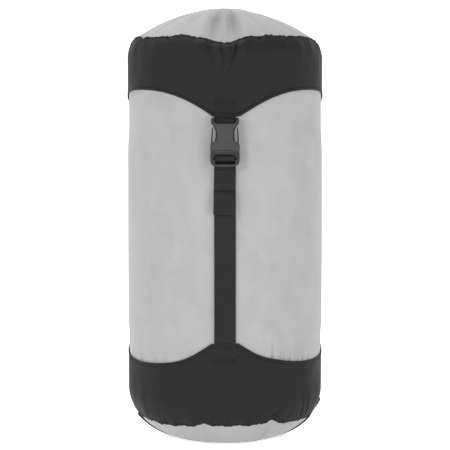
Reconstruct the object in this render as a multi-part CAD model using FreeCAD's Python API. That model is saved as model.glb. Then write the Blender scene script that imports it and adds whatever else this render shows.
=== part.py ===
import FreeCAD, Part
import math
import os
from FreeCAD import Vector

# Compression sack, millimetres. The origin is the middle of the base where it
# stands, +Z runs up the sack's axis, and the front strap faces -Y.
# "out" is the distance from the axis towards a strap, "side" is across a strap.

# ---- driving dimensions: the sack ----
SACK_RADIUS = 94.5          # outside of the light fabric tube
SACK_HEIGHT = 364.0         # from the floor to where the wall bends in under the lid
SACK_WALL = 1.2             # tube, shoulder and base disc, as modelled
TUBE_BOTTOM = 52.0          # where the base stops curving and the wall is straight
SHOULDER_BEND = 33.0        # radius of the shoulder's bend
SHOULDER_SLOPE = 9.4        # degrees, the gathered cloth between bend and neck
BAND_WALL = 0.9             # dark bands over the tube, as modelled
LAYER_GAP = 0.3             # between one cloth layer and the next
BODY_GAP = 0.1              # between pieces of two bodies that meet end to end

# ---- driving dimensions: the lid ----
LID_SEAM_INSET = 7.7        # the seam stands this far in from the band
LID_SEAM_RISE = 29.0        # the seam's height over the start of the shoulder
LID_BEND_RISE = 10.0        # where the band bends in, over the start of the shoulder
LID_ARCH_DROP = 21.6        # from the start of the shoulder to the edge between straps
LID_LOBE_DROP = 47.3        # and to the edge at a strap
LID_TACK_RISE = 13.3        # from a lobe's edge up to its bar tack
LID_ROOM = 4.3              # over the neck's ruffle

# ---- driving dimensions: the base ----
BASE_SEAM_INSET = 10.7
BASE_SEAM_HEIGHT = 27.0
BASE_FLAT_RADIUS = 20.0     # flat middle of the light base disc
BASE_ARCH_LOW = 84.0        # edge of the band midway between two straps
BASE_LOBE_END = 107.0       # edge of the band at a strap
BASE_TACK_DROP = 17.3       # from a lobe's edge down to its bar tack
SEAM_CORD_RADIUS = 1.3      # half the thickness of a sewn seam ridge
HANDLE_DROP = 3.6           # the handle enters the seam this far below its middle

# ---- driving dimensions: webbing and its stitches ----
STRAPS = 3
WEB_WIDTH = 20.0
WEB_THICK = 1.2
TACK_HEIGHT = 2.2
TACK_THICK = 0.3
TACK_MARGIN = 0.5           # a bar tack is this much longer than the webbing at each side
LOBE_MARGIN = 2.5           # a lobe's flat end is this much wider than the webbing each side
TAIL_LENGTH = 43.8          # loose tail below the buckle
TAIL_HEM = 24.3             # length of the tail's folded end

# ---- driving dimensions: the side-release buckle ----
MOUTH_DEPTH = 6.4           # height of the socket's mouth collar
MOUTH_LIP = 0.5             # the mouth stands out past the plug's collar
WAIST_WIDTH = 14.2
WAIST_HEIGHT = 16.0         # height of the two side windows
SHELL_WALL = 1.9            # front and back plates of the socket
MOUTH_WALL = 1.1            # side walls of the socket's mouth
FRAME_RAIL = 2.5            # width of the socket frame's side rails
FRAME_WALL = 1.6            # between the side windows and the webbing slot
FRAME_RISE = 1.0            # how far the frame's sides stand above the webbing bar
TOP_BAR = 2.6               # height of the socket's webbing bar
LOOP_DROP = 2.5             # from the lid's lobe down to the socket's frame
PLUG_THICK = 6.0
RAIL_WIDTH = 2.6
BAR_DEPTH = 3.3             # plug and socket bars, measured outwards
OUTER_BAR = 3.0             # height of the plug's lowest bar
CENTRE_BAR = 4.3            # height of the bar that the webbing wraps
PLUG_COLLAR = 3.4           # height of the plug's collar under the mouth
TONGUE_WIDTH = 6.0
TONGUE_THICK = 2.0
TONGUE_LENGTH = 18.6
ARM_THICK = 3.6
ARM_WEB = 1.6               # width of a latch arm at its root
ARM_PAD = 1.3               # width of the finger pad
CATCH_OVERLAP = 0.5         # how far a catch stands over the mouth's wall
RUN_CLEARANCE = 0.3         # between parts of the buckle that slide past each other
SLOT_CLEARANCE = 0.4        # between webbing and plastic, and beside a latch arm
ENTRY_CLEARANCE = 0.65      # between the plug's collar and the webbing under it

# ---- driving dimensions: neck, drawcord and cord lock ----
NECK_RADIUS = 17.2          # middle of the drawcord channel
CHANNEL_RADIUS = 3.2
CHANNEL_WALL = 1.3
RUFFLE_RISE = 7.0
RUFFLE_SPREAD = 7.5
RUFFLE_WALL = 1.0
CORD_RADIUS = 1.2
CORD_CLEARANCE = 0.3
LEG_GAP = 0.2               # between the cord's two legs, one above the other
KNOT_RADIUS = 3.0
LOCK_DIAMETER = 10.6
LOCK_WALL = 1.2
LOCK_GAP = 3.2              # between the channel and the cord lock
LOCK_REST = 0.8             # between the cord lock and the cloth under it
LOCK_TRAVEL = 10.3          # free cord between the cord lock and the knot
LOCK_SLIDE_SIDE = 5.0       # barrel length on the plunger's side of the cord
LOCK_SPRING_SIDE = 14.0     # barrel length on the spring's side of the cord
PLUNGER_TRAVEL = 4.0
PLUNGER_INNER = 4.5         # plunger length on the spring's side of the cord
BUTTON_LENGTH = 2.4
SPRING_WIRE = 0.5

# ---- worked out: the layers, from the axis outwards ----
BAND_INSIDE = SACK_RADIUS + LAYER_GAP
BAND_OUTSIDE = BAND_INSIDE + BAND_WALL
WALL_MIDDLE = SACK_RADIUS - SACK_WALL / 2
STRAP_MIDDLE = BAND_INSIDE + WEB_THICK / 2
STRAP_FRONT = STRAP_MIDDLE + WEB_THICK / 2
TAIL_MIDDLE = STRAP_FRONT + BODY_GAP + WEB_THICK / 2
TAIL_FRONT = TAIL_MIDDLE + WEB_THICK / 2
BAR_BACK = STRAP_FRONT + SLOT_CLEARANCE
BAR_FRONT = BAR_BACK + BAR_DEPTH
WRAP_MIDDLE = BAR_FRONT + SLOT_CLEARANCE + WEB_THICK / 2
OUTER_BAR_BACK = TAIL_FRONT + SLOT_CLEARANCE
SOCKET_THICK = ARM_THICK + 2 * SLOT_CLEARANCE + 2 * SHELL_WALL
BUCKLE_BACK = BAND_OUTSIDE + WEB_THICK / 2
BUCKLE_MIDDLE = BUCKLE_BACK + SOCKET_THICK / 2
BASE_SEAM_RADIUS = BAND_OUTSIDE - BASE_SEAM_INSET
LID_SEAM_RADIUS = BAND_OUTSIDE - LID_SEAM_INSET

# ---- worked out: widths ----
RAIL_INSIDE = WEB_WIDTH / 2 + SLOT_CLEARANCE
PLUG_HALF = RAIL_INSIDE + RAIL_WIDTH
FRAME_HALF = RAIL_INSIDE + FRAME_RAIL
MOUTH_HALF = PLUG_HALF + MOUTH_LIP
MOUTH_INSIDE = MOUTH_HALF - MOUTH_WALL
CATCH_REACH = MOUTH_INSIDE + CATCH_OVERLAP
LOBE_HALF = WEB_WIDTH / 2 + LOBE_MARGIN
ARCH_REACH = SACK_RADIUS * math.sin(math.pi / STRAPS - math.asin(LOBE_HALF / SACK_RADIUS))

# ---- worked out: heights, hanging from the lid's lobe ----
LID_SEAM_HEIGHT = SACK_HEIGHT + LID_SEAM_RISE
LID_BEND_START = SACK_HEIGHT + LID_BEND_RISE
LID_ARCH_TOP = SACK_HEIGHT - LID_ARCH_DROP
LID_LOBE_END = SACK_HEIGHT - LID_LOBE_DROP
FRAME_TOP = LID_LOBE_END - LOOP_DROP
TOP_BAR_TOP = FRAME_TOP - FRAME_RISE
TOP_BAR_LOW = TOP_BAR_TOP - TOP_BAR
LOOP_LOW = TOP_BAR_LOW - SLOT_CLEARANCE - WEB_THICK / 2
TOP_SLOT_LOW = LOOP_LOW - WEB_THICK / 2 - SLOT_CLEARANCE
WINDOW_TOP = TOP_SLOT_LOW - FRAME_WALL
WINDOW_LOW = WINDOW_TOP - WAIST_HEIGHT
MOUTH_HEIGHT = WINDOW_LOW - MOUTH_DEPTH
PLUG_TOP = MOUTH_HEIGHT - RUN_CLEARANCE / 2
COLLAR_LOW = PLUG_TOP - PLUG_COLLAR
ENTRY_HEIGHT = COLLAR_LOW - ENTRY_CLEARANCE - WEB_THICK / 2
CENTRE_BAR_TOP = ENTRY_HEIGHT - WEB_THICK / 2 - SLOT_CLEARANCE
CENTRE_BAR_LOW = CENTRE_BAR_TOP - CENTRE_BAR
RETURN_HEIGHT = CENTRE_BAR_LOW - SLOT_CLEARANCE - WEB_THICK / 2
OUTER_BAR_TOP = RETURN_HEIGHT - WEB_THICK / 2 - SLOT_CLEARANCE
BUCKLE_LOW = OUTER_BAR_TOP - OUTER_BAR
BIGHT_LOW = OUTER_BAR_TOP - RUN_CLEARANCE
TAIL_TOP = BUCKLE_LOW - WEB_THICK
TAIL_END = BUCKLE_LOW - TAIL_LENGTH

# ---- worked out: neck and cord lock ----
CHANNEL_OUTSIDE = NECK_RADIUS + CHANNEL_RADIUS
LOCK_MIDDLE = CHANNEL_OUTSIDE + LOCK_GAP + LOCK_DIAMETER / 2
SLOPE = math.radians(SHOULDER_SLOPE)
SHOULDER_CORNER = SACK_HEIGHT + SHOULDER_BEND * math.tan((math.pi / 2 - SLOPE) / 2)
NECK_LOW = SHOULDER_CORNER + (WALL_MIDDLE - NECK_RADIUS) * math.tan(SLOPE)
CLOTH_AT_LOCK = NECK_LOW - (LOCK_MIDDLE - NECK_RADIUS) * math.tan(SLOPE) + SACK_WALL / 2
CORD_HEIGHT = CLOTH_AT_LOCK + LOCK_REST + LOCK_DIAMETER / 2
RUFFLE_TOP = CORD_HEIGHT + CHANNEL_RADIUS + RUFFLE_RISE
LID_TOP = RUFFLE_TOP + LID_ROOM
KNOT_PLACE = LOCK_MIDDLE + LOCK_DIAMETER / 2 + LOCK_TRAVEL + KNOT_RADIUS
CORD_REACH = KNOT_PLACE - KNOT_RADIUS / 2
CORD_SPACING = 2 * CORD_RADIUS + LEG_GAP
CORD_HOLE_HALF = CORD_RADIUS + CORD_CLEARANCE
CORD_HOLE_HEIGHT = CORD_SPACING + 2 * CORD_HOLE_HALF
LOCK_BORE = LOCK_DIAMETER / 2 - LOCK_WALL
PLUNGER_RADIUS = LOCK_BORE - CORD_CLEARANCE / 2
LOCK_CLOSED_END = -(LOCK_SPRING_SIDE - LOCK_WALL)

STRAP_ANGLES = [turn * 360.0 / STRAPS for turn in range(STRAPS)]
STRAP_NAMES = ["front", "rear_right", "rear_left"]
ARCH_STEPS = 12
FAR = 2 * SACK_RADIUS       # longer than any cut has to be
SAME_POINT = 1e-6


# ---- outlines ----
def profile_point(out, height):
    return Vector(out, 0, height)


def front_point(side, height):
    return Vector(side, 0, height)


def side_point(out, height):
    return Vector(0, -out, height)


def run_end(run):
    return run[1] if isinstance(run[0], tuple) else run


def closed_face(place, start, runs):
    """A flat face. Each run is the next point, or a (middle, end) pair for an arc."""
    edges = []
    last = start
    for run in runs + [start]:
        end = run_end(run)
        if isinstance(run[0], tuple):
            edges.append(Part.Arc(place(*last), place(*run[0]), place(*end)).toShape())
        elif math.dist(last, end) > SAME_POINT:
            edges.append(Part.makeLine(place(*last), place(*end)))
        last = end
    return Part.Face(Part.Wire(edges))


def unit(first, second):
    length = math.dist(first, second)
    return ((second[0] - first[0]) / length, (second[1] - first[1]) / length)


def strip_side(points, bends, offset):
    """One side of a strip whose middle follows the points, each corner with its own bend."""
    side = []
    last = len(points) - 1
    for i, point in enumerate(points):
        before = unit(points[i - 1], point) if i else None
        after = unit(point, points[i + 1]) if i < last else None
        if before is None or after is None:
            way = after or before
            side.append((point[0] - way[1] * offset, point[1] + way[0] * offset))
            continue
        turn = math.atan2(before[0] * after[1] - before[1] * after[0],
                          before[0] * after[0] + before[1] * after[1])
        reach = bends[i - 1] * math.tan(abs(turn) / 2)
        centre_way = math.copysign(1, turn)
        begin = (point[0] - before[0] * reach, point[1] - before[1] * reach)
        centre = (begin[0] - before[1] * centre_way * bends[i - 1],
                  begin[1] + before[0] * centre_way * bends[i - 1])
        radius = bends[i - 1] - centre_way * offset
        arc = []
        for share in (0, 0.5, 1):
            angle = math.atan2(before[1], before[0]) - centre_way * math.pi / 2 + turn * share
            arc.append((centre[0] + radius * math.cos(angle), centre[1] + radius * math.sin(angle)))
        side.append(arc[0])
        side.append((arc[1], arc[2]))
    return side


def strip_face(place, points, bends, thick):
    """The face of a strip of even thickness along the points."""
    left = strip_side(points, bends, thick / 2)
    right = strip_side(points, bends, -thick / 2)
    back = []
    for i in range(len(right) - 1, -1, -1):
        run = right[i]
        if isinstance(run[0], tuple):
            back += [run_end(run), (run[0], right[i - 1])]
        elif i == len(right) - 1 or not isinstance(right[i + 1][0], tuple):
            back.append(run)
    return closed_face(place, left[0], left[1:] + back)


def turned_shell(points, bends, thick):
    """A cloth shell: a strip outline turned once round the sack's axis."""
    face = strip_face(profile_point, points, bends, thick)
    return face.revolve(Vector(0, 0, 0), Vector(0, 0, 1), 360)


def webbing(points, bends, thick=WEB_THICK):
    """Webbing at the front strap, as wide as all webbing is."""
    face = strip_face(side_point, points, bends, thick)
    face.translate(Vector(-WEB_WIDTH / 2, 0, 0))
    return face.extrude(Vector(WEB_WIDTH, 0, 0))


def block(half_side, out_low, out_high, low, high, side=0.0):
    """A box at the front strap: half its width, then its outward and height limits."""
    corner = Vector(side - half_side, -out_high, low)
    return Part.makeBox(2 * half_side, out_high - out_low, high - low, corner)


def plate(start, runs, middle, thick):
    """A flat outline at the front strap, thickened about its middle."""
    face = closed_face(front_point, start, runs)
    face.translate(Vector(0, -(middle - thick / 2), 0))
    return face.extrude(Vector(0, -thick, 0))


def mirrored(shape):
    return shape.mirror(Vector(0, 0, 0), Vector(1, 0, 0))


def at_strap(shape, angle):
    copy = shape.copy()
    copy.rotate(Vector(0, 0, 0), Vector(0, 0, 1), angle)
    return copy


def ridge(radius, height):
    return Part.makeTorus(radius, SEAM_CORD_RADIUS, Vector(0, 0, height))


def tangent_radius(across, along):
    """Radius of an arc that starts along one direction and ends across by a given step."""
    return (across ** 2 + along ** 2) / (2 * across)


def tangent_turn(across, along):
    """How far that arc turns."""
    return 2 * math.atan2(across, along)


# ---- the sack ----
def base_disc():
    """Light base: a flat middle, then one arc up to the seam."""
    low = WEB_THICK + BODY_GAP
    rise = BASE_SEAM_HEIGHT - low - SACK_WALL / 2
    reach = BASE_SEAM_RADIUS - BASE_FLAT_RADIUS
    radius = tangent_radius(rise, reach)
    end = tangent_turn(rise, reach)
    arcs = []
    for thick in (0.0, SACK_WALL):
        bend = radius - thick
        arcs.append([(BASE_FLAT_RADIUS + bend * math.sin(part * end),
                      low + radius - bend * math.cos(part * end)) for part in (0, 0.5, 1)])
    outer, inner = arcs
    face = closed_face(profile_point, (0.0, low), [
        outer[0], (outer[1], outer[2]), inner[2], (inner[1], inner[0]), (0.0, low + SACK_WALL)])
    disc = face.revolve(Vector(0, 0, 0), Vector(0, 0, 1), 360)
    return disc.cut(ridge(BASE_SEAM_RADIUS, BASE_SEAM_HEIGHT))


def bent_band(seam_radius, seam_height, bend_start, edge, wall_inside):
    """A band's wall: straight from its edge to the bend, then one arc in to its seam."""
    across = BAND_OUTSIDE - seam_radius
    along = abs(seam_height - bend_start)
    radius = tangent_radius(across, along)
    end = tangent_turn(across, along)
    way = math.copysign(1, seam_height - bend_start)
    centre = BAND_OUTSIDE - radius
    thick = BAND_OUTSIDE - wall_inside
    outer, inner = [[(centre + bend * math.cos(part * end), bend_start + way * bend * math.sin(part * end))
                     for part in (0, 0.5, 1)] for bend in (radius, radius - thick)]
    face = closed_face(profile_point, (BAND_OUTSIDE, edge), [
        outer[0], (outer[1], outer[2]), inner[2], (inner[1], inner[0]),
        (BAND_INSIDE, bend_start), (BAND_INSIDE, edge)])
    band = face.revolve(Vector(0, 0, 0), Vector(0, 0, 1), 360)
    return band.cut(ridge(seam_radius, seam_height))


def arch_cutters(crest, lobe_end):
    """What is cut from a band between two straps to leave its scalloped edge."""
    cutters = []
    drop = lobe_end - crest
    points = []
    for step in range(ARCH_STEPS + 1):
        share = 2.0 * step / ARCH_STEPS - 1
        fall = 0.4 * share ** 2 + 0.6 * share ** 4
        points.append(Vector(share * ARCH_REACH, 0, crest + drop * fall))
    curve = Part.BSplineCurve()
    curve.interpolate(points)
    past = lobe_end + math.copysign(WEB_WIDTH, drop)
    corners = [points[-1], Vector(ARCH_REACH, 0, past), Vector(-ARCH_REACH, 0, past), points[0]]
    edges = [curve.toShape()] + [Part.makeLine(corners[i], corners[i + 1]) for i in range(3)]
    cutter = Part.Face(Part.Wire(edges)).extrude(Vector(0, -FAR, 0))
    for angle in STRAP_ANGLES:
        cutters.append(at_strap(cutter, angle + 180.0 / STRAPS))
    return cutters


def base_band():
    """Dark base cover. Below the bend it is thicker, and the tube stands on that ledge."""
    band = bent_band(BASE_SEAM_RADIUS, BASE_SEAM_HEIGHT, TUBE_BOTTOM, BASE_LOBE_END,
                     SACK_RADIUS - SACK_WALL)
    return band.cut(arch_cutters(BASE_ARCH_LOW, BASE_LOBE_END))


def base_handle():
    """Webbing grab handle under the base, sewn into the seam at both ends."""
    reach = BASE_SEAM_RADIUS + WEB_THICK - BASE_FLAT_RADIUS
    middle = WEB_THICK / 2
    rise = BASE_SEAM_HEIGHT - HANDLE_DROP
    radius = tangent_radius(rise, reach)
    end = tangent_turn(rise, reach)
    sides = []
    for bend in (radius + middle, radius - middle):
        sides.append([(BASE_FLAT_RADIUS + bend * math.sin(part * end),
                       middle + radius - bend * math.cos(part * end)) for part in (0, 0.5, 1)])
    low, high = sides
    flip = [[(-x, z) for x, z in side] for side in sides]
    face = closed_face(front_point, low[0], [
        (low[1], low[2]), high[2], (high[1], high[0]), flip[1][0],
        (flip[1][1], flip[1][2]), flip[0][2], (flip[0][1], flip[0][0])])
    face.translate(Vector(0, -WEB_WIDTH / 2, 0))
    handle = face.extrude(Vector(0, WEB_WIDTH, 0))
    return handle.cut(ridge(BASE_SEAM_RADIUS, BASE_SEAM_HEIGHT))


def sack_tube():
    top = SACK_HEIGHT - BODY_GAP
    outer = Part.makeCylinder(SACK_RADIUS, top - TUBE_BOTTOM, Vector(0, 0, TUBE_BOTTOM))
    inner = Part.makeCylinder(SACK_RADIUS - SACK_WALL, top - TUBE_BOTTOM, Vector(0, 0, TUBE_BOTTOM))
    return outer.cut(inner)


def channel_outside():
    return Part.makeTorus(NECK_RADIUS, CHANNEL_RADIUS, Vector(0, 0, CORD_HEIGHT))


def sack_shoulder():
    """The tube's top, bent in and gathered to the neck."""
    shell = turned_shell([(WALL_MIDDLE, SACK_HEIGHT), (WALL_MIDDLE, SHOULDER_CORNER),
                          (NECK_RADIUS, NECK_LOW), (NECK_RADIUS, CORD_HEIGHT)],
                         [SHOULDER_BEND - SACK_WALL, 2 * SACK_WALL], SACK_WALL)
    return shell.cut(channel_outside())


def cord_way(near, far):
    """The room that the two cord legs need in front of the neck."""
    return Part.makeBox(2 * CORD_HOLE_HALF, far - near, CORD_HOLE_HEIGHT,
                        Vector(-CORD_HOLE_HALF, -far, CORD_HEIGHT - CORD_HOLE_HEIGHT / 2))


def neck_ruffle():
    """The gathered edge of the mouth, above the channel."""
    ruffle = turned_shell([(NECK_RADIUS, CORD_HEIGHT), (NECK_RADIUS + RUFFLE_SPREAD, RUFFLE_TOP)],
                          [], RUFFLE_WALL)
    return ruffle.cut([channel_outside(), cord_way(NECK_RADIUS, LOCK_MIDDLE)])


def neck_channel():
    """Drawcord channel: a hollow ring with one eyelet at the front."""
    hollow = Part.makeTorus(NECK_RADIUS, CHANNEL_RADIUS - CHANNEL_WALL, Vector(0, 0, CORD_HEIGHT))
    eyelet = cord_way(NECK_RADIUS, CHANNEL_OUTSIDE + CHANNEL_WALL)
    return channel_outside().cut([hollow, eyelet])


def cord_leg(height):
    start = Vector(0, -NECK_RADIUS, height)
    return Part.makeCylinder(CORD_RADIUS, CORD_REACH - NECK_RADIUS, start, Vector(0, -1, 0))


def drawcord():
    """A ring in the channel and two legs that leave it, one above the other."""
    ring = Part.makeTorus(NECK_RADIUS, CORD_RADIUS, Vector(0, 0, CORD_HEIGHT))
    legs = [cord_leg(CORD_HEIGHT + way * CORD_SPACING / 2) for way in (-1, 1)]
    return ring.fuse(legs).removeSplitter()


def drawcord_knot():
    """The overhand knot that joins both legs past the cord lock."""
    knot = Part.makeSphere(KNOT_RADIUS, Vector(0, -KNOT_PLACE, CORD_HEIGHT))
    return knot.cut(drawcord())


# ---- the cord lock ----
def lock_rod(radius, start, end):
    place = Vector(start, -LOCK_MIDDLE, CORD_HEIGHT)
    return Part.makeCylinder(radius, end - start, place, Vector(1, 0, 0))


def lock_passage(low_side, high_side):
    half = CORD_HOLE_HEIGHT / 2
    return Part.makeBox(high_side - low_side, 2 * LOCK_DIAMETER, 2 * half,
                        Vector(low_side, -LOCK_MIDDLE - LOCK_DIAMETER, CORD_HEIGHT - half))


def cord_lock_barrel():
    barrel = lock_rod(LOCK_DIAMETER / 2, -LOCK_SPRING_SIDE, LOCK_SLIDE_SIDE)
    bore = lock_rod(LOCK_BORE, LOCK_CLOSED_END, LOCK_SLIDE_SIDE)
    barrel = barrel.cut([bore, lock_passage(-CORD_HOLE_HALF, CORD_HOLE_HALF)])
    return barrel


def cord_lock_plunger():
    """The sprung plunger. Its slot is long enough for its travel past the cord."""
    button = LOCK_SLIDE_SIDE + PLUNGER_TRAVEL + CORD_CLEARANCE
    stem = lock_rod(PLUNGER_RADIUS, -PLUNGER_INNER, button)
    head = lock_rod(LOCK_DIAMETER / 2, button, button + BUTTON_LENGTH)
    slot = lock_passage(-CORD_HOLE_HALF, CORD_HOLE_HALF + PLUNGER_TRAVEL)
    return stem.fuse(head).cut(slot)


def cord_lock_spring():
    """The close-wound coil's sleeve, from the barrel's closed end to the plunger."""
    start = LOCK_CLOSED_END + CORD_CLEARANCE / 2
    end = -PLUNGER_INNER - CORD_CLEARANCE / 2
    outside = PLUNGER_RADIUS - CORD_CLEARANCE
    return lock_rod(outside, start, end).cut(lock_rod(outside - SPRING_WIRE, start, end))


# ---- the lid ----
def lid_dome():
    rise = LID_TOP - LID_SEAM_HEIGHT
    radius = tangent_radius(rise, LID_SEAM_RADIUS)
    end = tangent_turn(rise, LID_SEAM_RADIUS)
    centre = LID_TOP - radius
    outer, inner = [[(bend * math.sin(part * end), centre + bend * math.cos(part * end))
                     for part in (0, 0.5, 1)] for bend in (radius, radius - BAND_WALL)]
    face = closed_face(profile_point, outer[0], [
        (outer[1], outer[2]), inner[2], (inner[1], inner[0])])
    dome = face.revolve(Vector(0, 0, 0), Vector(0, 0, 1), 360)
    return dome.cut(ridge(LID_SEAM_RADIUS, LID_SEAM_HEIGHT))


def lid_band():
    band = bent_band(LID_SEAM_RADIUS, LID_SEAM_HEIGHT, LID_BEND_START, LID_LOBE_END, BAND_INSIDE)
    return band.cut(arch_cutters(LID_ARCH_TOP, LID_LOBE_END))


def bar_tacks(height):
    """Three bars of dense stitching, one over the end of each strap."""
    spread = math.degrees((WEB_WIDTH + 2 * TACK_MARGIN) / BAND_OUTSIDE)
    low = height - TACK_HEIGHT / 2
    inside = BAND_OUTSIDE + BODY_GAP
    outer = Part.makeCylinder(inside + TACK_THICK, TACK_HEIGHT, Vector(0, 0, low), Vector(0, 0, 1), spread)
    inner = Part.makeCylinder(inside, TACK_HEIGHT, Vector(0, 0, low), Vector(0, 0, 1), spread)
    tack = at_strap(outer.cut(inner), -90.0 - spread / 2)
    return Part.makeCompound([at_strap(tack, angle) for angle in STRAP_ANGLES])


def lid_loop():
    """Webbing loop from under the lid's lobe round the socket's top bar."""
    return webbing([(STRAP_MIDDLE, LID_LOBE_END), (STRAP_MIDDLE, LOOP_LOW), (WRAP_MIDDLE, LOOP_LOW),
                    (WRAP_MIDDLE, TOP_BAR_TOP + WEB_THICK / 2),
                    (TAIL_MIDDLE, LID_LOBE_END - WEB_THICK / 2)],
                   [WEB_THICK, WEB_THICK, WEB_THICK])


# ---- webbing of one strap ----
def load_strap():
    """From under the base band's lobe up to the back of the plug."""
    return webbing([(STRAP_MIDDLE, BASE_LOBE_END), (STRAP_MIDDLE, BIGHT_LOW - BODY_GAP)], [])


def strap_bight():
    """Where the webbing turns through the plug, over the centre bar and back."""
    return webbing([(STRAP_MIDDLE, BIGHT_LOW), (STRAP_MIDDLE, ENTRY_HEIGHT),
                    (WRAP_MIDDLE, ENTRY_HEIGHT), (WRAP_MIDDLE, RETURN_HEIGHT),
                    (TAIL_MIDDLE, RETURN_HEIGHT), (TAIL_MIDDLE, TAIL_TOP)],
                   [WEB_THICK, WEB_THICK, WEB_THICK, WEB_THICK])


def strap_tail():
    low = TAIL_END + TAIL_HEM + BODY_GAP
    return webbing([(TAIL_MIDDLE, TAIL_TOP - BODY_GAP), (TAIL_MIDDLE, low)], [])


def tail_hem():
    """The tail's end, folded forward on itself and stitched."""
    middle = TAIL_MIDDLE + WEB_THICK / 2
    return webbing([(middle, TAIL_END + TAIL_HEM), (middle, TAIL_END)], [], 2 * WEB_THICK)


# ---- the buckle ----
def buckle_socket():
    """Female half: mouth collar, waist between two open windows, and webbing frame."""
    mouth = MOUTH_HALF
    waist = WAIST_WIDTH / 2
    frame = FRAME_HALF
    fillet = MOUTH_WALL
    corner = fillet * (1 - math.sqrt(0.5))
    body = plate((-mouth, MOUTH_HEIGHT), [
        ((0.0, MOUTH_HEIGHT + MOUTH_WALL), (mouth, MOUTH_HEIGHT)), (mouth, WINDOW_LOW),
        (waist + fillet, WINDOW_LOW),
        ((waist + corner, WINDOW_LOW + corner), (waist, WINDOW_LOW + fillet)),
        (waist, WINDOW_TOP - fillet),
        ((waist + corner, WINDOW_TOP - corner), (waist + fillet, WINDOW_TOP)),
        (frame, WINDOW_TOP), (frame, FRAME_TOP), (-frame, FRAME_TOP), (-frame, WINDOW_TOP),
        (-waist - fillet, WINDOW_TOP),
        ((-waist - corner, WINDOW_TOP - corner), (-waist, WINDOW_TOP - fillet)),
        (-waist, WINDOW_LOW + fillet),
        ((-waist - corner, WINDOW_LOW + corner), (-waist - fillet, WINDOW_LOW)),
        (-mouth, WINDOW_LOW)], BUCKLE_MIDDLE, SOCKET_THICK)
    cavity_back = BUCKLE_BACK + SHELL_WALL
    cavity_front = BUCKLE_BACK + SOCKET_THICK - SHELL_WALL
    below = MOUTH_HEIGHT - MOUTH_WALL
    cavity = block(MOUTH_INSIDE, cavity_back, cavity_front, below, WINDOW_LOW)
    channel_half = TONGUE_THICK / 2 + RUN_CLEARANCE
    channel = block(TONGUE_WIDTH / 2 + RUN_CLEARANCE, BUCKLE_MIDDLE - channel_half,
                    BUCKLE_MIDDLE + channel_half, MOUTH_HEIGHT, PLUG_TOP + TONGUE_LENGTH + RUN_CLEARANCE)
    past = BUCKLE_BACK + SOCKET_THICK + WEB_THICK
    slot = block(RAIL_INSIDE, 0, past, TOP_SLOT_LOW, TOP_BAR_LOW)
    above_bar = block(RAIL_INSIDE, 0, past, TOP_BAR_TOP, FRAME_TOP)
    bar_front = block(RAIL_INSIDE, BAR_FRONT, past, TOP_BAR_LOW, TOP_BAR_TOP)
    bar_back = block(RAIL_INSIDE, 0, BAR_BACK, TOP_BAR_LOW, TOP_BAR_TOP)
    rail_front = block(frame, BUCKLE_MIDDLE + PLUG_THICK / 3, past, WINDOW_TOP, FRAME_TOP)
    return body.cut([cavity, channel, slot, above_bar, bar_front, bar_back, rail_front])


def buckle_plug():
    """Male half without its arms: rails, three bars and the guide tongue."""
    narrow = PLUG_HALF - SLOT_CLEARANCE
    frame = plate((-narrow, BUCKLE_LOW), [
        (narrow, BUCKLE_LOW), (PLUG_HALF, COLLAR_LOW), (PLUG_HALF, PLUG_TOP),
        ((0.0, PLUG_TOP + MOUTH_WALL), (-PLUG_HALF, PLUG_TOP)), (-PLUG_HALF, COLLAR_LOW)],
        BUCKLE_MIDDLE, PLUG_THICK)
    window = block(RAIL_INSIDE, 0, FAR, OUTER_BAR_TOP, COLLAR_LOW)
    tail_way = block(RAIL_INSIDE, 0, OUTER_BAR_BACK, BUCKLE_LOW, OUTER_BAR_TOP)
    bar_face = block(RAIL_INSIDE, OUTER_BAR_BACK + BAR_DEPTH, FAR, BUCKLE_LOW, OUTER_BAR_TOP)
    centre_bar = block(RAIL_INSIDE, BAR_BACK, BAR_FRONT, CENTRE_BAR_LOW, CENTRE_BAR_TOP)
    tongue_half = TONGUE_THICK / 2
    tongue = block(TONGUE_WIDTH / 2, BUCKLE_MIDDLE - tongue_half, BUCKLE_MIDDLE + tongue_half,
                   PLUG_TOP, PLUG_TOP + TONGUE_LENGTH)
    return frame.cut([window, tail_way, bar_face]).fuse([centre_bar, tongue]).removeSplitter()


def latch_arm():
    """Right latch arm: root, catch over the mouth's wall, and thin finger pad."""
    root_low = MOUTH_HEIGHT + MOUTH_WALL - SLOT_CLEARANCE
    root_out = WAIST_WIDTH / 2 + 2 * ARM_WEB
    root_in = root_out - ARM_WEB
    catch_low = WINDOW_LOW + SLOT_CLEARANCE
    pad_top = WINDOW_TOP - RUN_CLEARANCE
    pad_middle = (catch_low + pad_top) / 2
    pad_in = CATCH_REACH - ARM_PAD
    return plate((root_in, root_low), [
        (root_out, root_low), (root_out, catch_low), (CATCH_REACH, catch_low),
        ((CATCH_REACH - RUN_CLEARANCE, pad_middle), (CATCH_REACH - ARM_PAD, pad_top)),
        (pad_in - ARM_PAD / 2, pad_top),
        ((pad_in - RUN_CLEARANCE, pad_middle), (pad_in, catch_low + ARM_WEB)),
        (root_in, catch_low)], BUCKLE_MIDDLE, ARM_THICK)


def save(name, shape):
    shape.exportStep("parts/" + name + ".step")


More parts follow.
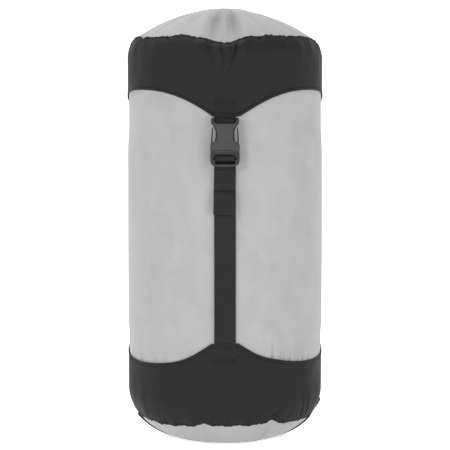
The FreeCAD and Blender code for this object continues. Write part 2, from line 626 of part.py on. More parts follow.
def single_pieces():
    return {
        "base_disc": base_disc(),
        "base_band": base_band(),
        "base_seam": ridge(BASE_SEAM_RADIUS, BASE_SEAM_HEIGHT),
        "base_handle": base_handle(),
        "base_bar_tacks": bar_tacks(BASE_LOBE_END - BASE_TACK_DROP),
        "sack_tube": sack_tube(),
        "sack_shoulder": sack_shoulder(),
        "neck_channel": neck_channel(),
        "neck_ruffle": neck_ruffle(),
        "drawcord": drawcord(),
        "drawcord_knot": drawcord_knot(),
        "cord_lock_barrel": cord_lock_barrel(),
        "cord_lock_plunger": cord_lock_plunger(),
        "cord_lock_spring": cord_lock_spring(),
        "lid_dome": lid_dome(),
        "lid_seam": ridge(LID_SEAM_RADIUS, LID_SEAM_HEIGHT),
        "lid_band": lid_band(),
        "lid_bar_tacks": bar_tacks(LID_LOBE_END + LID_TACK_RISE),
    }


def strap_pieces():
    arm = latch_arm()
    return {
        "strap": load_strap(),
        "strap_bight": strap_bight(),
        "strap_tail": strap_tail(),
        "tail_hem": tail_hem(),
        "lid_loop": lid_loop(),
        "buckle_socket": buckle_socket(),
        "buckle_plug": buckle_plug(),
        "latch_right": arm,
        "latch_left": mirrored(arm),
    }


def main():
    os.makedirs("parts", exist_ok=True)
    for name, shape in single_pieces().items():
        save(name, shape)
    for name, shape in strap_pieces().items():
        for place, angle in zip(STRAP_NAMES, STRAP_ANGLES):
            save(name + "_" + place, at_strap(shape, angle))


main()
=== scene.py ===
import math
import random

import bmesh
import bpy
import numpy as np
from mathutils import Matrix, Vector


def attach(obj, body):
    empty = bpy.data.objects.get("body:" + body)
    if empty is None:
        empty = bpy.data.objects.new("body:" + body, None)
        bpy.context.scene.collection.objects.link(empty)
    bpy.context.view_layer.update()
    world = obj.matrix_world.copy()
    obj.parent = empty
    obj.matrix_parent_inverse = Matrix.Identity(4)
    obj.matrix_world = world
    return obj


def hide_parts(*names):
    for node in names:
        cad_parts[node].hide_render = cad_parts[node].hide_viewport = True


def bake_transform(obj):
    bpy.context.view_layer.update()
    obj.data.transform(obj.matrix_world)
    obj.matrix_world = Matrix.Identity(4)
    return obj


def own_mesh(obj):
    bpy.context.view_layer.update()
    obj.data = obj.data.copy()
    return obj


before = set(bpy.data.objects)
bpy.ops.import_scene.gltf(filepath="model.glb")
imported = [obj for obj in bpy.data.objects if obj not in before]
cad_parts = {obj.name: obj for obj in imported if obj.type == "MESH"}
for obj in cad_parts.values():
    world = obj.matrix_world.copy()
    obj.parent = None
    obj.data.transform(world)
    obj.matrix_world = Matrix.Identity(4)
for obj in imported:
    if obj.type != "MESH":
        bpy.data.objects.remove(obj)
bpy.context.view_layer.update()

# Lengths are millimetres, heights are from the floor, and angles round the sack are degrees
# from the front strap, growing towards the right.
MM = 0.001
STRAPS = {"front": 0.0, "rear_right": 120.0, "rear_left": 240.0}

WALL = 94.4                 # outside of the light sack
COVER = 95.5                # outside of the dark covers
LOBE_HALF, ARCH_RADIUS = 12.5, 94.5
ARCH_REACH = ARCH_RADIUS * math.sin(math.radians(60) - math.asin(LOBE_HALF / ARCH_RADIUS))
LID_EDGE, LID_LOBE_FALL = 342.4, 25.7
BASE_EDGE, BASE_LOBE_RISE = 84.0, 23.0
LID_SEAM, LID_SEAM_RADIUS = 393.0, 88.0
BASE_SEAM, BASE_SEAM_RADIUS = 27.0, 85.0
LID_BEND, BASE_BEND = 374.0, 52.0
LID_TOP = 423.96
LID_TACK, BASE_TACK = 330.0, 89.7
NECK, CORD_HEIGHT = 17.2, 409.44
WEB_HALF, WEB_THICK, WEB_FOLDED = 10.0, 1.2, 1.15
COLUMNS = 540
ROUND = np.arange(COLUMNS) * 360.0 / COLUMNS - 180.0


# ---- what every object needs ----
def new_object(name, data):
    obj = bpy.data.objects.new(name, data)
    bpy.context.collection.objects.link(obj)
    return obj


def made_mesh(carrier):
    """The mesh that a carrier comes to, with the carrier removed."""
    mesh = bpy.data.meshes.new_from_object(carrier.evaluated_get(bpy.context.evaluated_depsgraph_get()))
    bpy.data.objects.remove(carrier)
    return mesh


def smooth(mesh):
    mesh.polygons.foreach_set("use_smooth", [True] * len(mesh.polygons))


# ---- camera, floor and light ----
def make_camera():
    data = bpy.data.cameras.new("camera")
    data.sensor_width = 36.0
    data.lens = 121.5
    camera = new_object("camera", data)
    camera.location = (0, -1.5, 0.3)
    pitch_down = 3.41
    camera.rotation_euler = (math.radians(90 - pitch_down), 0, 0)
    bpy.context.scene.camera = camera


def make_floor():
    """A pale floor that sweeps up into a wall behind."""
    near, far, bend, top, half = -4.0, 2.6, 1.2, 5.0, 6.0
    turn = [(far + bend * math.sin(a), bend - bend * math.cos(a)) for a in np.linspace(0, math.pi / 2, 17)]
    line = [(near, 0.0)] + turn + [(far + bend, top)]
    points = [(side * half, y, z) for y, z in line for side in (-1, 1)]
    faces = [(2 * i, 2 * i + 1, 2 * i + 3, 2 * i + 2) for i in range(len(line) - 1)]
    mesh = bpy.data.meshes.new("floor")
    mesh.from_pydata(points, [], faces)
    smooth(mesh)
    floor = new_object("floor", mesh)
    paper = bpy.data.materials.new("paper")
    paper.use_nodes = True
    shader = paper.node_tree.nodes["Principled BSDF"]
    shader.inputs["Base Color"].default_value = (0.93, 0.93, 0.93, 1)
    shader.inputs["Roughness"].default_value = 0.9
    shader.inputs["Emission Color"].default_value = (1, 1, 1, 1)
    shader.inputs["Emission Strength"].default_value = 0.65
    mesh.materials.append(paper)


def make_light(name, place, aim, size, energy):
    data = bpy.data.lights.new(name, "AREA")
    data.shape = "DISK"
    data.size = size
    data.energy = energy
    light = new_object(name, data)
    light.location = place
    way = Vector(aim) - Vector(place)
    light.rotation_euler = way.to_track_quat("-Z", "Y").to_euler()


def make_room():
    world = bpy.data.worlds.new("room")
    world.use_nodes = True
    tree = world.node_tree
    seen = add(tree, "ShaderNodeLightPath").outputs["Is Camera Ray"]
    strength = add(tree, "ShaderNodeMapRange", {"Value": seen, "To Min": 0.72, "To Max": 1.0}).outputs[0]
    tree.nodes["Background"].inputs["Color"].default_value = (1, 1, 1, 1)
    tree.links.new(strength, tree.nodes["Background"].inputs["Strength"])
    bpy.context.scene.world = world
    bpy.context.scene.view_settings.view_transform = "Standard"
    make_light("key", (-1.35, -1.75, 0.95), (0, 0, 0.25), 0.6, 19.5)
    make_light("fill", (1.6, -1.5, 0.55), (0, 0, 0.25), 0.9, 15.0)
    make_light("top", (-0.35, 0.3, 1.9), (0, 0, 0.3), 0.5, 17.0)


# ---- building nodes ----
def add(tree, kind, inputs=None, **settings):
    made = tree.nodes.new(kind)
    for key, value in settings.items():
        setattr(made, key, value)
    for key, value in (inputs or {}).items():
        if isinstance(value, bpy.types.NodeSocket):
            tree.links.new(value, made.inputs[key])
        else:
            made.inputs[key].default_value = value
    return made


def calc(tree, operation, first, second=0.0):
    return add(tree, "ShaderNodeMath", {0: first, 1: second}, operation=operation).outputs[0]


def split(tree, vector):
    return add(tree, "ShaderNodeSeparateXYZ", {0: vector}).outputs


def noise(tree, vector, scale, **settings):
    inputs = {"Vector": vector, "Scale": scale}
    inputs.update({label.capitalize(): value for label, value in settings.items()})
    return add(tree, "ShaderNodeTexNoise", inputs).outputs["Fac"]


def on_cut(tree):
    """Places on a piece's flat cut."""
    return add(tree, "ShaderNodeUVMap", uv_map="cut").outputs[0]


def on_piece(tree):
    """Places on the piece itself."""
    return add(tree, "ShaderNodeTexCoord").outputs["Object"]


def new_group(name, inputs, outputs, kind="ShaderNodeTree"):
    """A node group; gives its tree, the sockets of its inputs, and their identifiers."""
    tree = bpy.data.node_groups.new(name, kind)
    names = {}
    for label, socket_kind, value in inputs:
        socket = tree.interface.new_socket(name=label, in_out="INPUT",
                                           socket_type="NodeSocket" + socket_kind)
        if value is not None:
            socket.default_value = value
        names[label] = socket.identifier
    for label, socket_kind in outputs:
        tree.interface.new_socket(name=label, in_out="OUTPUT", socket_type="NodeSocket" + socket_kind)
    return tree, tree.nodes.new("NodeGroupInput").outputs, names


def close_group(tree, **results):
    out = tree.nodes.new("NodeGroupOutput")
    for label, socket in results.items():
        tree.links.new(socket, out.inputs[label])


def weave_group():
    """Plain woven cloth with a thicker thread every few millimetres, as ripstop has."""
    tree, start, _ = new_group("woven cloth", [("Place", "Vector", None), ("Thread", "Float", 0.0004),
                                               ("Square", "Float", 0.005)],
                               [("Height", "Float"), ("Rib", "Float")])
    threads, ribs = [], []
    for place in split(tree, start["Place"])[:2]:
        turns = calc(tree, "DIVIDE", place, start["Thread"])
        threads.append(calc(tree, "SINE", calc(tree, "MULTIPLY", turns, math.pi)))
        cells = calc(tree, "FRACT", calc(tree, "DIVIDE", place, start["Square"]))
        off_middle = calc(tree, "ABSOLUTE", calc(tree, "SUBTRACT", cells, 0.5))
        ribs.append(calc(tree, "GREATER_THAN", off_middle, 0.455))
    cloth = calc(tree, "MULTIPLY", *threads)
    rib = calc(tree, "MAXIMUM", *ribs)
    height = calc(tree, "ADD", calc(tree, "MULTIPLY", cloth, 0.5), calc(tree, "MULTIPLY", rib, 0.7))
    close_group(tree, Height=height, Rib=rib)
    return tree


def soft_group():
    """Broad softness of handled cloth: shallow dents, and a shade that drifts with them."""
    tree, start, _ = new_group("soft cloth", [("Place", "Vector", None), ("Size", "Float", 0.02),
                                              ("Upright", "Float", 0.5)],
                               [("Height", "Float"), ("Shade", "Float")])
    x, y, z = split(tree, start["Place"])
    tall = calc(tree, "MULTIPLY", z, start["Upright"])
    place = add(tree, "ShaderNodeCombineXYZ", {0: x, 1: y, 2: tall}).outputs[0]
    scale = calc(tree, "DIVIDE", 1.0, start["Size"])
    broad = noise(tree, place, scale, detail=3.0, roughness=0.45, distortion=0.6)
    fine = noise(tree, place, calc(tree, "MULTIPLY", scale, 6.0), detail=2.0)
    height = calc(tree, "ADD", broad, calc(tree, "MULTIPLY", fine, 0.12))
    close_group(tree, Height=height, Shade=broad)
    return tree


def rib_group():
    """Webbing: fine ribs across, crossed by the warp's slanting pairs, with a tighter edge."""
    tree, start, _ = new_group("webbing ribs", [("Across", "Float", 0.0), ("Along", "Float", 0.0),
                                                ("Pitch", "Float", 0.0011), ("Half", "Float", 0.01)],
                               [("Height", "Float"), ("Edge", "Float")])
    lines = calc(tree, "DIVIDE", start["Along"], start["Pitch"])
    warp = calc(tree, "DIVIDE", start["Across"], start["Pitch"])
    zigzag = calc(tree, "PINGPONG", calc(tree, "MULTIPLY", warp, 0.5), 1.0)
    weft = calc(tree, "SINE", calc(tree, "MULTIPLY", calc(tree, "ADD", lines, zigzag), 2 * math.pi))
    ends = calc(tree, "SINE", calc(tree, "MULTIPLY", warp, 2 * math.pi))
    edge = calc(tree, "GREATER_THAN", calc(tree, "ABSOLUTE", start["Across"]),
                calc(tree, "MULTIPLY", start["Half"], 0.9))
    height = calc(tree, "ADD", calc(tree, "MULTIPLY", weft, 0.5), calc(tree, "MULTIPLY", ends, 0.35))
    close_group(tree, Height=height, Edge=edge)
    return tree


def grain_group():
    """Moulded plastic: fine spark-eroded grain and faint rubbed patches."""
    tree, start, _ = new_group("moulded grain", [("Place", "Vector", None), ("Grain", "Float", 0.0005)],
                               [("Height", "Float"), ("Rub", "Float")])
    scale = calc(tree, "DIVIDE", 1.0, start["Grain"])
    grain = noise(tree, start["Place"], scale, detail=2.0)
    rub = noise(tree, start["Place"], calc(tree, "MULTIPLY", scale, 0.12), detail=4.0, distortion=1.2)
    close_group(tree, Height=grain, Rub=rub)
    return tree


GROUPS = {"weave": weave_group(), "soft": soft_group(), "rib": rib_group(), "grain": grain_group()}


# ---- materials ----
def new_material(name, roughness, sheen=0.0, specular=0.5):
    material = bpy.data.materials.new(name)
    material.use_nodes = True
    shader = material.node_tree.nodes["Principled BSDF"]
    shader.inputs["Roughness"].default_value = roughness
    shader.inputs["Sheen Weight"].default_value = sheen
    shader.inputs["Sheen Roughness"].default_value = 0.4
    shader.inputs["Specular IOR Level"].default_value = specular
    return material, material.node_tree, shader


def place_group(tree, name, **inputs):
    return add(tree, "ShaderNodeGroup", inputs, node_tree=GROUPS[name]).outputs


def finish_material(tree, shader, shade, colours, rough, bumps, deep=None):
    """Mixes two colours by the shade, sets the roughness range, and stacks the bumps.
    With a deep colour, the points given painted shade take it: the deep colour is painted shade."""
    low, high = [(*colour, 1.0) for colour in colours]
    colour = add(tree, "ShaderNodeMix", {0: shade, 6: low, 7: high}, data_type="RGBA")
    if deep:
        # Painted shade: each point's stored value mixes in the deep colour.
        painted_shade = add(tree, "ShaderNodeAttribute", attribute_name="painted_shade").outputs["Fac"]
        colour = add(tree, "ShaderNodeMix", {0: painted_shade, 6: colour.outputs[2], 7: (*deep, 1.0)},
                     data_type="RGBA")
    tree.links.new(colour.outputs[2], shader.inputs["Base Color"])
    spread = add(tree, "ShaderNodeMapRange", {"Value": shade, "From Min": 0.3, "From Max": 0.7,
                                              "To Min": rough[0], "To Max": rough[1]})
    tree.links.new(spread.outputs[0], shader.inputs["Roughness"])
    normal = None
    for height, strength, distance in bumps:
        inputs = {"Height": height, "Strength": strength, "Distance": distance}
        if normal is not None:
            inputs["Normal"] = normal
        normal = add(tree, "ShaderNodeBump", inputs).outputs["Normal"]
    tree.links.new(normal, shader.inputs["Normal"])


def grey(value):
    return (value, value, value)


def cloth_material(name, low, high, sheen, specular, thread, dents):
    material, tree, shader = new_material(name, 0.7, sheen, specular)
    weave = place_group(tree, "weave", Place=on_cut(tree), Thread=thread, Square=0.0052)
    soft = place_group(tree, "soft", Place=on_piece(tree), Size=0.021, Upright=0.8)
    shade = calc(tree, "SUBTRACT", soft["Shade"], calc(tree, "MULTIPLY", weave["Rib"], 0.05))
    # The deep colour, 0.45 of the low colour, is painted shade for folds and grooves.
    finish_material(tree, shader, shade, (low, high), (0.6, 0.78),
                    [(weave["Height"], 0.25, 0.00006), (soft["Height"], dents, 0.002)],
                    tuple(0.45 * value for value in low))
    return material


def webbing_material(name, by_height):
    """Ribs follow the strip's own length, or the height where a strip is drawn through a buckle."""
    material, tree, shader = new_material(name, 0.7, 0.01, 0.12)
    across, along, _ = split(tree, on_cut(tree))
    place = on_piece(tree)
    if by_height:
        along = split(tree, place)[2]
    rib = place_group(tree, "rib", Across=across, Along=along, Pitch=0.0011, Half=WEB_HALF * MM)
    soft = place_group(tree, "soft", Place=place, Size=0.012, Upright=1.0)
    shade = calc(tree, "ADD", calc(tree, "MULTIPLY", rib["Height"], 0.22), soft["Shade"])
    shade = calc(tree, "ADD", shade, calc(tree, "MULTIPLY", rib["Edge"], 0.15))
    finish_material(tree, shader, shade, (grey(0.0098), grey(0.0178)), (0.6, 0.75),
                    [(rib["Height"], 0.5, 0.00016), (soft["Height"], 0.3, 0.001)])
    return material


def plastic_material(name, low, high, rough):
    material, tree, shader = new_material(name, 0.4, 0.0, 0.24)
    grain = place_group(tree, "grain", Place=on_piece(tree), Grain=0.0006)
    # The deep colour, a fifth of the low colour, is painted shade on turned-away sides and recessed parts.
    finish_material(tree, shader, grain["Rub"], (low, high), rough, [(grain["Height"], 0.22, 0.00008)],
                    tuple(0.2 * value for value in low))
    return material


def thread_material(name, low, high):
    material, tree, shader = new_material(name, 0.6, 0.0, 0.12)
    twist = noise(tree, on_piece(tree), 2400.0, detail=1.0)
    finish_material(tree, shader, twist, (low, high), (0.5, 0.7), [(twist, 0.4, 0.0001)])
    return material


def cord_material():
    """Round braid: two families of strands wind opposite ways."""
    material, tree, shader = new_material("braided cord", 0.6, 0.1)
    across, along, _ = split(tree, on_cut(tree))
    strand_pitch, strands = 0.0013, []
    for way in (1.0, -1.0):
        turn = calc(tree, "MULTIPLY", across, way)
        wound = calc(tree, "MULTIPLY", calc(tree, "ADD", along, turn), 2 * math.pi / strand_pitch)
        strands.append(calc(tree, "SINE", wound))
    height = calc(tree, "MAXIMUM", *strands)
    shade = calc(tree, "ADD", calc(tree, "MULTIPLY", height, 0.4), 0.5)
    finish_material(tree, shader, shade, (grey(0.02), grey(0.06)), (0.5, 0.7), [(height, 0.6, 0.0002)])
    return material


def steel_material():
    material, tree, shader = new_material("spring wire", 0.3)
    shader.inputs["Metallic"].default_value = 1.0
    drawn = noise(tree, on_piece(tree), 1500.0)
    finish_material(tree, shader, drawn, (grey(0.4), grey(0.62)), (0.22, 0.4), [(drawn, 0.15, 0.00005)])
    return material


MATERIALS = {
    "light_fabric": cloth_material("light cloth", grey(0.243), grey(0.322), 0.06, 0.3, 0.00042, 0.5),
    "dark_fabric": cloth_material("dark cloth", grey(0.0095), grey(0.0145), 0.01, 0.12, 0.0005, 0.45),
    "webbing": webbing_material("webbing", False),
    "webbing_drawn": webbing_material("webbing drawn through", True),
    "acetal": plastic_material("buckle plastic", grey(0.031), grey(0.044), (0.36, 0.52)),
    "thread": thread_material("dark thread", grey(0.006), grey(0.014)),
    "cord": cord_material(),
    "spring_steel": steel_material(),
}


# ---- making pieces ----
def new_mesh(points, faces, cut):
    """A mesh with its flat cut: one place for each corner of each face."""
    mesh = bpy.data.meshes.new("shape")
    mesh.from_pydata((np.asarray(points) * MM).tolist(), [], faces)
    layer = mesh.uv_layers.new(name="cut")
    layer.data.foreach_set("uv", (np.asarray(cut, float) * MM).ravel())
    smooth(mesh)
    return mesh


def piece(name, mesh, finish, body=None, stands_for=()):
    mesh.name = name
    obj = new_object(name, mesh)
    mesh.materials.clear()
    mesh.materials.append(MATERIALS[finish])
    if stands_for:
        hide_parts(*stands_for)
    if body:
        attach(obj, body)
    return obj


def paint_shade(mesh, painted_shade):
    """Stores painted shade for each point, 0 to 1: on cloth, shade in its folds and grooves; on plastic,
    shade on its turned-away sides and recessed parts.
    """
    values = np.zeros(len(mesh.vertices))
    values[:painted_shade.size] = np.clip(painted_shade, 0, 1).ravel()
    mesh.attributes.new("painted_shade", "FLOAT", "POINT").data.foreach_set("value", values)
    return mesh


def thicken(obj, thick):
    wall = obj.modifiers.new("wall", "SOLIDIFY")
    wall.thickness = thick * MM
    wall.offset = -1.0
    wall.use_even_offset = True


def round_sack(radius, phi, height):
    """Points at those radii, angles and heights."""
    angle = np.radians(phi)
    radius, angle, height = np.broadcast_arrays(radius, angle, height)
    return np.stack([radius * np.sin(angle), -radius * np.cos(angle), height], -1)


def ring_faces(rows, columns):
    """Faces between rows of points, each row closed on itself.
    Also gives the points' numbers, and for each the number of the next one in its row."""
    grid = np.arange(rows * columns).reshape(rows, columns)
    beside = np.roll(grid, -1, axis=1)
    faces = np.stack([grid[:-1], beside[:-1], beside[1:], grid[1:]], -1).reshape(-1, 4)
    return faces.tolist(), grid, beside


def corner_places(*pairs):
    """The flat cut of faces whose corners have those places, in order."""
    return np.stack([np.stack(pair, -1) for pair in pairs], 2).reshape(-1, 2).tolist()


def run_length(line):
    """The distance along a line to each of its points."""
    return np.concatenate([[0], np.cumsum(np.linalg.norm(np.diff(line, axis=0), axis=1))])


def turned_cloth(radius, height, wrap, pole):
    """A cloth that goes once round: rows run up its outside. wrap is the radius its flat cut is laid at.
    With a pole, its first or last row closes in a point."""
    rows, columns = radius.shape
    points = round_sack(radius, ROUND, height).reshape(-1, 3).tolist()
    faces, grid, beside = ring_faces(rows, columns)
    length = np.concatenate([np.zeros((1, columns)), np.cumsum(np.hypot(
        np.diff(radius, axis=0), np.diff(height, axis=0)), axis=0)])
    step = 2 * math.pi * wrap / columns
    left_u = np.broadcast_to(np.arange(columns) * step, (rows, columns))
    right_u = left_u + step
    right_v = np.roll(length, -1, axis=1)
    cut = corner_places((left_u[:-1], length[:-1]), (right_u[:-1], right_v[:-1]),
                        (right_u[1:], right_v[1:]), (left_u[1:], length[1:]))
    if pole:
        row = rows - 1 if pole == "last" else 0
        points.append([0.0, 0.0, float(height[row].mean())])
        for j in range(columns):
            pair = [int(grid[row, j]), int(beside[row, j])]
            if pole == "first":
                pair.reverse()
            faces.append(pair + [rows * columns])
            cut += [[j * step, 0.0], [(j + 1) * step, 0.0], [(j + 0.5) * step, 1.0]]
    return new_mesh(points, faces, cut)


def cloth(name, radius, height, wrap, finish, body, node, thick=None, painted_shade=None, pole=None):
    """A turned cloth as a piece, with painted shade in its creases and its thickness where they are given."""
    mesh = turned_cloth(radius, height, wrap, pole)
    if painted_shade is not None:
        paint_shade(mesh, painted_shade)
    obj = piece(name, mesh, finish, body, [node])
    if thick:
        thicken(obj, thick)
    return obj


def in_strap_space(angle, side, out, height):
    """Points beside, out from and above: across the strap at that angle, away from the axis, and up."""
    turn = math.radians(angle)
    side, out, height = np.broadcast_arrays(np.asarray(side, float), np.asarray(out, float),
                                            np.asarray(height, float))
    return np.stack([side * math.cos(turn) + out * math.sin(turn),
                     side * math.sin(turn) - out * math.cos(turn), height], -1)


def strip_mesh(line, across, thick=WEB_THICK):
    """Webbing along a line. Its section is flat with round edges; both ends are closed."""
    line, across = np.asarray(line, float), np.asarray(across, float)
    way = np.gradient(line, axis=0)
    way /= np.linalg.norm(way, axis=1)[:, None]
    normal = np.cross(across, way)
    flat = np.linspace(-WEB_HALF + 0.45, WEB_HALF - 0.45, 9)
    top = [(a, thick / 2) for a in flat]
    edge = [(WEB_HALF - 0.12, thick * 0.36), (WEB_HALF, 0.0), (WEB_HALF - 0.12, -thick * 0.36)]
    section = top + edge + [(a, -b) for a, b in reversed(top)] + [(-a, -b) for a, b in edge]
    count, rows = len(section), len(line)
    section = np.array(section)
    points = line[:, None] + section[None, :, :1] * across + section[None, :, 1:] * normal[:, None]
    faces, grid, _ = ring_faces(rows, count)
    length = run_length(line)
    low, here = np.meshgrid(length[:-1], section[:, 0], indexing="ij")
    high = np.broadcast_to(length[1:, None], low.shape)
    beside = np.roll(here, -1, axis=1)
    cut = corner_places((here, low), (beside, low), (beside, high), (here, high))
    faces += [grid[0][::-1].tolist(), grid[-1].tolist()]
    cut += section[::-1].tolist() + section.tolist()
    return new_mesh(points.reshape(-1, 3), faces, cut)


def tube_mesh(lines, radius, sides=10):
    """Round cord along one or more lines. Each line is closed or has both ends capped."""
    points, faces, cut = [], [], []
    for line, closed in lines:
        line = np.asarray(line, float)
        if closed:
            way = np.roll(line, -1, axis=0) - np.roll(line, 1, axis=0)
        else:
            way = np.gradient(line, axis=0)
        way /= np.linalg.norm(way, axis=1)[:, None]
        first = np.cross(way[0], [0.3, 0.2, 0.93])
        frames = []
        for direction in way:
            first = first - direction * first.dot(direction)
            first /= np.linalg.norm(first)
            frames.append((first, np.cross(direction, first)))
        start = len(points)
        for middle, (one, two) in zip(line, frames):
            for k in range(sides):
                turn = 2 * math.pi * k / sides
                points.append(middle + radius * (math.cos(turn) * one + math.sin(turn) * two))
        rows = len(line)
        length = 0.0
        for i in range(rows if closed else rows - 1):
            after = (i + 1) % rows
            step = float(np.linalg.norm(line[after] - line[i]))
            for k in range(sides):
                k2 = (k + 1) % sides
                faces.append([start + i * sides + k, start + i * sides + k2,
                              start + after * sides + k2, start + after * sides + k])
                u, u2 = 2 * math.pi * radius * k / sides, 2 * math.pi * radius * (k + 1) / sides
                cut += [[u, length], [u2, length], [u2, length + step], [u, length + step]]
            length += step
        if not closed:
            low = [start + k for k in range(sides)]
            high = [start + (rows - 1) * sides + k for k in range(sides)]
            faces += [low[::-1], high]
            cut += [[0.0, 0.0]] * (2 * sides)
    return new_mesh(points, faces, cut)


def rounded(corners, bend):
    """The line through corners, with each inner corner turned in an arc."""
    arc_points = 9
    corners = [np.array(c, float) for c in corners]
    run = [corners[0]]
    for before, corner, after in zip(corners, corners[1:], corners[2:]):
        back, on = before - corner, after - corner
        back, on = back / np.linalg.norm(back), on / np.linalg.norm(on)
        half = math.acos(float(back.dot(on))) / 2
        centre = corner + (back + on) / np.linalg.norm(back + on) * bend / math.sin(half)
        start, end = corner + back * bend / math.tan(half), corner + on * bend / math.tan(half)
        turn = math.pi - 2 * half
        for k in range(arc_points):
            w = k / (arc_points - 1)
            toward = (start - centre) * math.sin((1 - w) * turn) + (end - centre) * math.sin(w * turn)
            run.append(centre + toward / math.sin(turn))
    return np.array(run + [corners[-1]])


def divided(line, step):
    """The same line with points added along its long runs."""
    length = run_length(line)
    places = np.unique(np.concatenate([length, np.arange(0.0, length[-1], step)]))
    least_gap = 0.02
    places = places[np.concatenate([[True], np.diff(places) > least_gap])]
    return np.stack([np.interp(places, length, line[:, k]) for k in range(line.shape[1])], -1)


def stitch_tree():
    """Stitches of one length at a fixed pitch along a path, lying along it or standing upright."""
    tree, start, names = new_group(
        "stitches", [("Path", "Geometry", None), ("Stitch", "Float", 0.002), ("Pitch", "Float", 0.003),
                     ("Thread", "Float", 0.00022), ("Upright", "Float", 0.0), ("Uneven", "Float", 0.1),
                     ("Seed", "Int", 1), ("Material", "Material", None)],
        [("Stitches", "Geometry")], "GeometryNodeTree")
    curve = add(tree, "GeometryNodeMeshToCurve", {"Mesh": start["Path"]})
    dots = add(tree, "GeometryNodeCurveToPoints", {"Curve": curve.outputs[0], "Length": start["Pitch"]},
               mode="LENGTH")
    lying = add(tree, "ShaderNodeVectorMath", {0: dots.outputs["Tangent"],
                                               "Scale": calc(tree, "SUBTRACT", 1.0, start["Upright"])},
                operation="SCALE")
    standing = add(tree, "ShaderNodeCombineXYZ", {2: start["Upright"]})
    way = add(tree, "ShaderNodeVectorMath", {0: lying.outputs[0], 1: standing.outputs[0]}, operation="ADD")
    turn = add(tree, "FunctionNodeAlignRotationToVector", {"Vector": way.outputs[0]}, axis="Z")
    uneven = add(tree, "FunctionNodeRandomValue", {2: calc(tree, "SUBTRACT", 1.0, start["Uneven"]),
                                                   3: calc(tree, "ADD", 1.0, start["Uneven"]),
                                                   8: start["Seed"]}, data_type="FLOAT")
    half = calc(tree, "MULTIPLY", calc(tree, "MULTIPLY", start["Stitch"], 0.5), uneven.outputs[1])
    size = add(tree, "ShaderNodeCombineXYZ", {0: start["Thread"], 1: start["Thread"], 2: half})
    thread = add(tree, "GeometryNodeMeshUVSphere", {"Segments": 6, "Rings": 4, "Radius": 1.0})
    placed = add(tree, "GeometryNodeInstanceOnPoints",
                 {"Points": dots.outputs["Points"], "Instance": thread.outputs["Mesh"],
                  "Rotation": turn.outputs[0], "Scale": size.outputs[0]})
    real = add(tree, "GeometryNodeRealizeInstances", {"Geometry": placed.outputs[0]})
    done = add(tree, "GeometryNodeSetMaterial",
               {"Geometry": real.outputs[0], "Material": start["Material"]})
    close_group(tree, Stitches=done.outputs[0])
    return tree, names


STITCHES, STITCH_INPUTS = stitch_tree()


def stitched(name, lines, body, stitch, pitch, thread, seed, upright=0.0, stands_for=()):
    """One mesh of stitches along the lines, each a run of points and whether it closes."""
    points, edges = [], []
    for line, closed in lines:
        start, count = len(points), len(line)
        points += (np.asarray(line) * MM).tolist()
        edges += [(start + i, start + (i + 1) % count) for i in range(count if closed else count - 1)]
    path = bpy.data.meshes.new(name + "_path")
    path.from_pydata(points, edges, [])
    carrier = new_object(name + "_path", path)
    modifier = carrier.modifiers.new("stitches", "NODES")
    modifier.node_group = STITCHES
    for label, value in (("Stitch", stitch * MM), ("Pitch", pitch * MM), ("Thread", thread * MM),
                         ("Upright", upright), ("Uneven", 0.1), ("Seed", seed),
                         ("Material", MATERIALS["thread"])):
        modifier[STITCH_INPUTS[label]] = value
    mesh = made_mesh(carrier)
    smooth(mesh)
    return piece(name, mesh, "thread", body, stands_for)


def softened(name, node, body, width, shade_amount=0.0):
    """A moulded part: the CAD shape with its sharp corners rounded as a mould leaves them.
    Its last argument says how much painted shade, in the plastic's deep colour, the whole part takes."""
    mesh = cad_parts[node].data.copy()
    work = bmesh.new()
    work.from_mesh(mesh)
    bmesh.ops.remove_doubles(work, verts=work.verts, dist=0.00002)
    bmesh.ops.dissolve_limit(work, angle_limit=math.radians(2.0), verts=work.verts, edges=work.edges)
    bmesh.ops.recalc_face_normals(work, faces=work.faces)
    work.to_mesh(mesh)
    work.free()
    smooth(mesh)
    paint_shade(mesh, np.full(len(mesh.vertices), shade_amount))
    obj = piece(name, mesh, "acetal", body, [node])
    corner = obj.modifiers.new("corners", "BEVEL")
    corner.width = width * MM
    corner.segments = 3
    corner.limit_method = "ANGLE"
    corner.angle_limit = math.radians(32)
    corner.harden_normals = True
    return obj


# ---- moulded buckles ----
def smooth_outline(half):
    """A closed outline through the right half's points and their mirror images, curved between them.
    A point given with a third value is a corner."""
    steps = 4
    points = [(p[0], p[1], len(p) > 2) for p in half]
    points += [(-x, z, corner) for x, z, corner in reversed(points) if x > 0]
    outline, count = [], len(points)
    for i in range(count):
        a, b, c, d = (np.array(points[(i + k) % count][:2]) for k in (-1, 0, 1, 2))
        if points[i][2]:
            a = b
        if points[(i + 1) % count][2]:
            d = c
        for k in range(steps):
            t = k / steps
            outline.append(0.5 * (2 * b + (c - a) * t + (2 * a - 5 * b + 4 * c - d) * t * t
                                  + (3 * b - a - 3 * c + d) * t ** 3))
    return outline


def slab(side_low, side_high, low, high):
    return [(side_low, low), (side_high, low), (side_high, high), (side_low, high)]


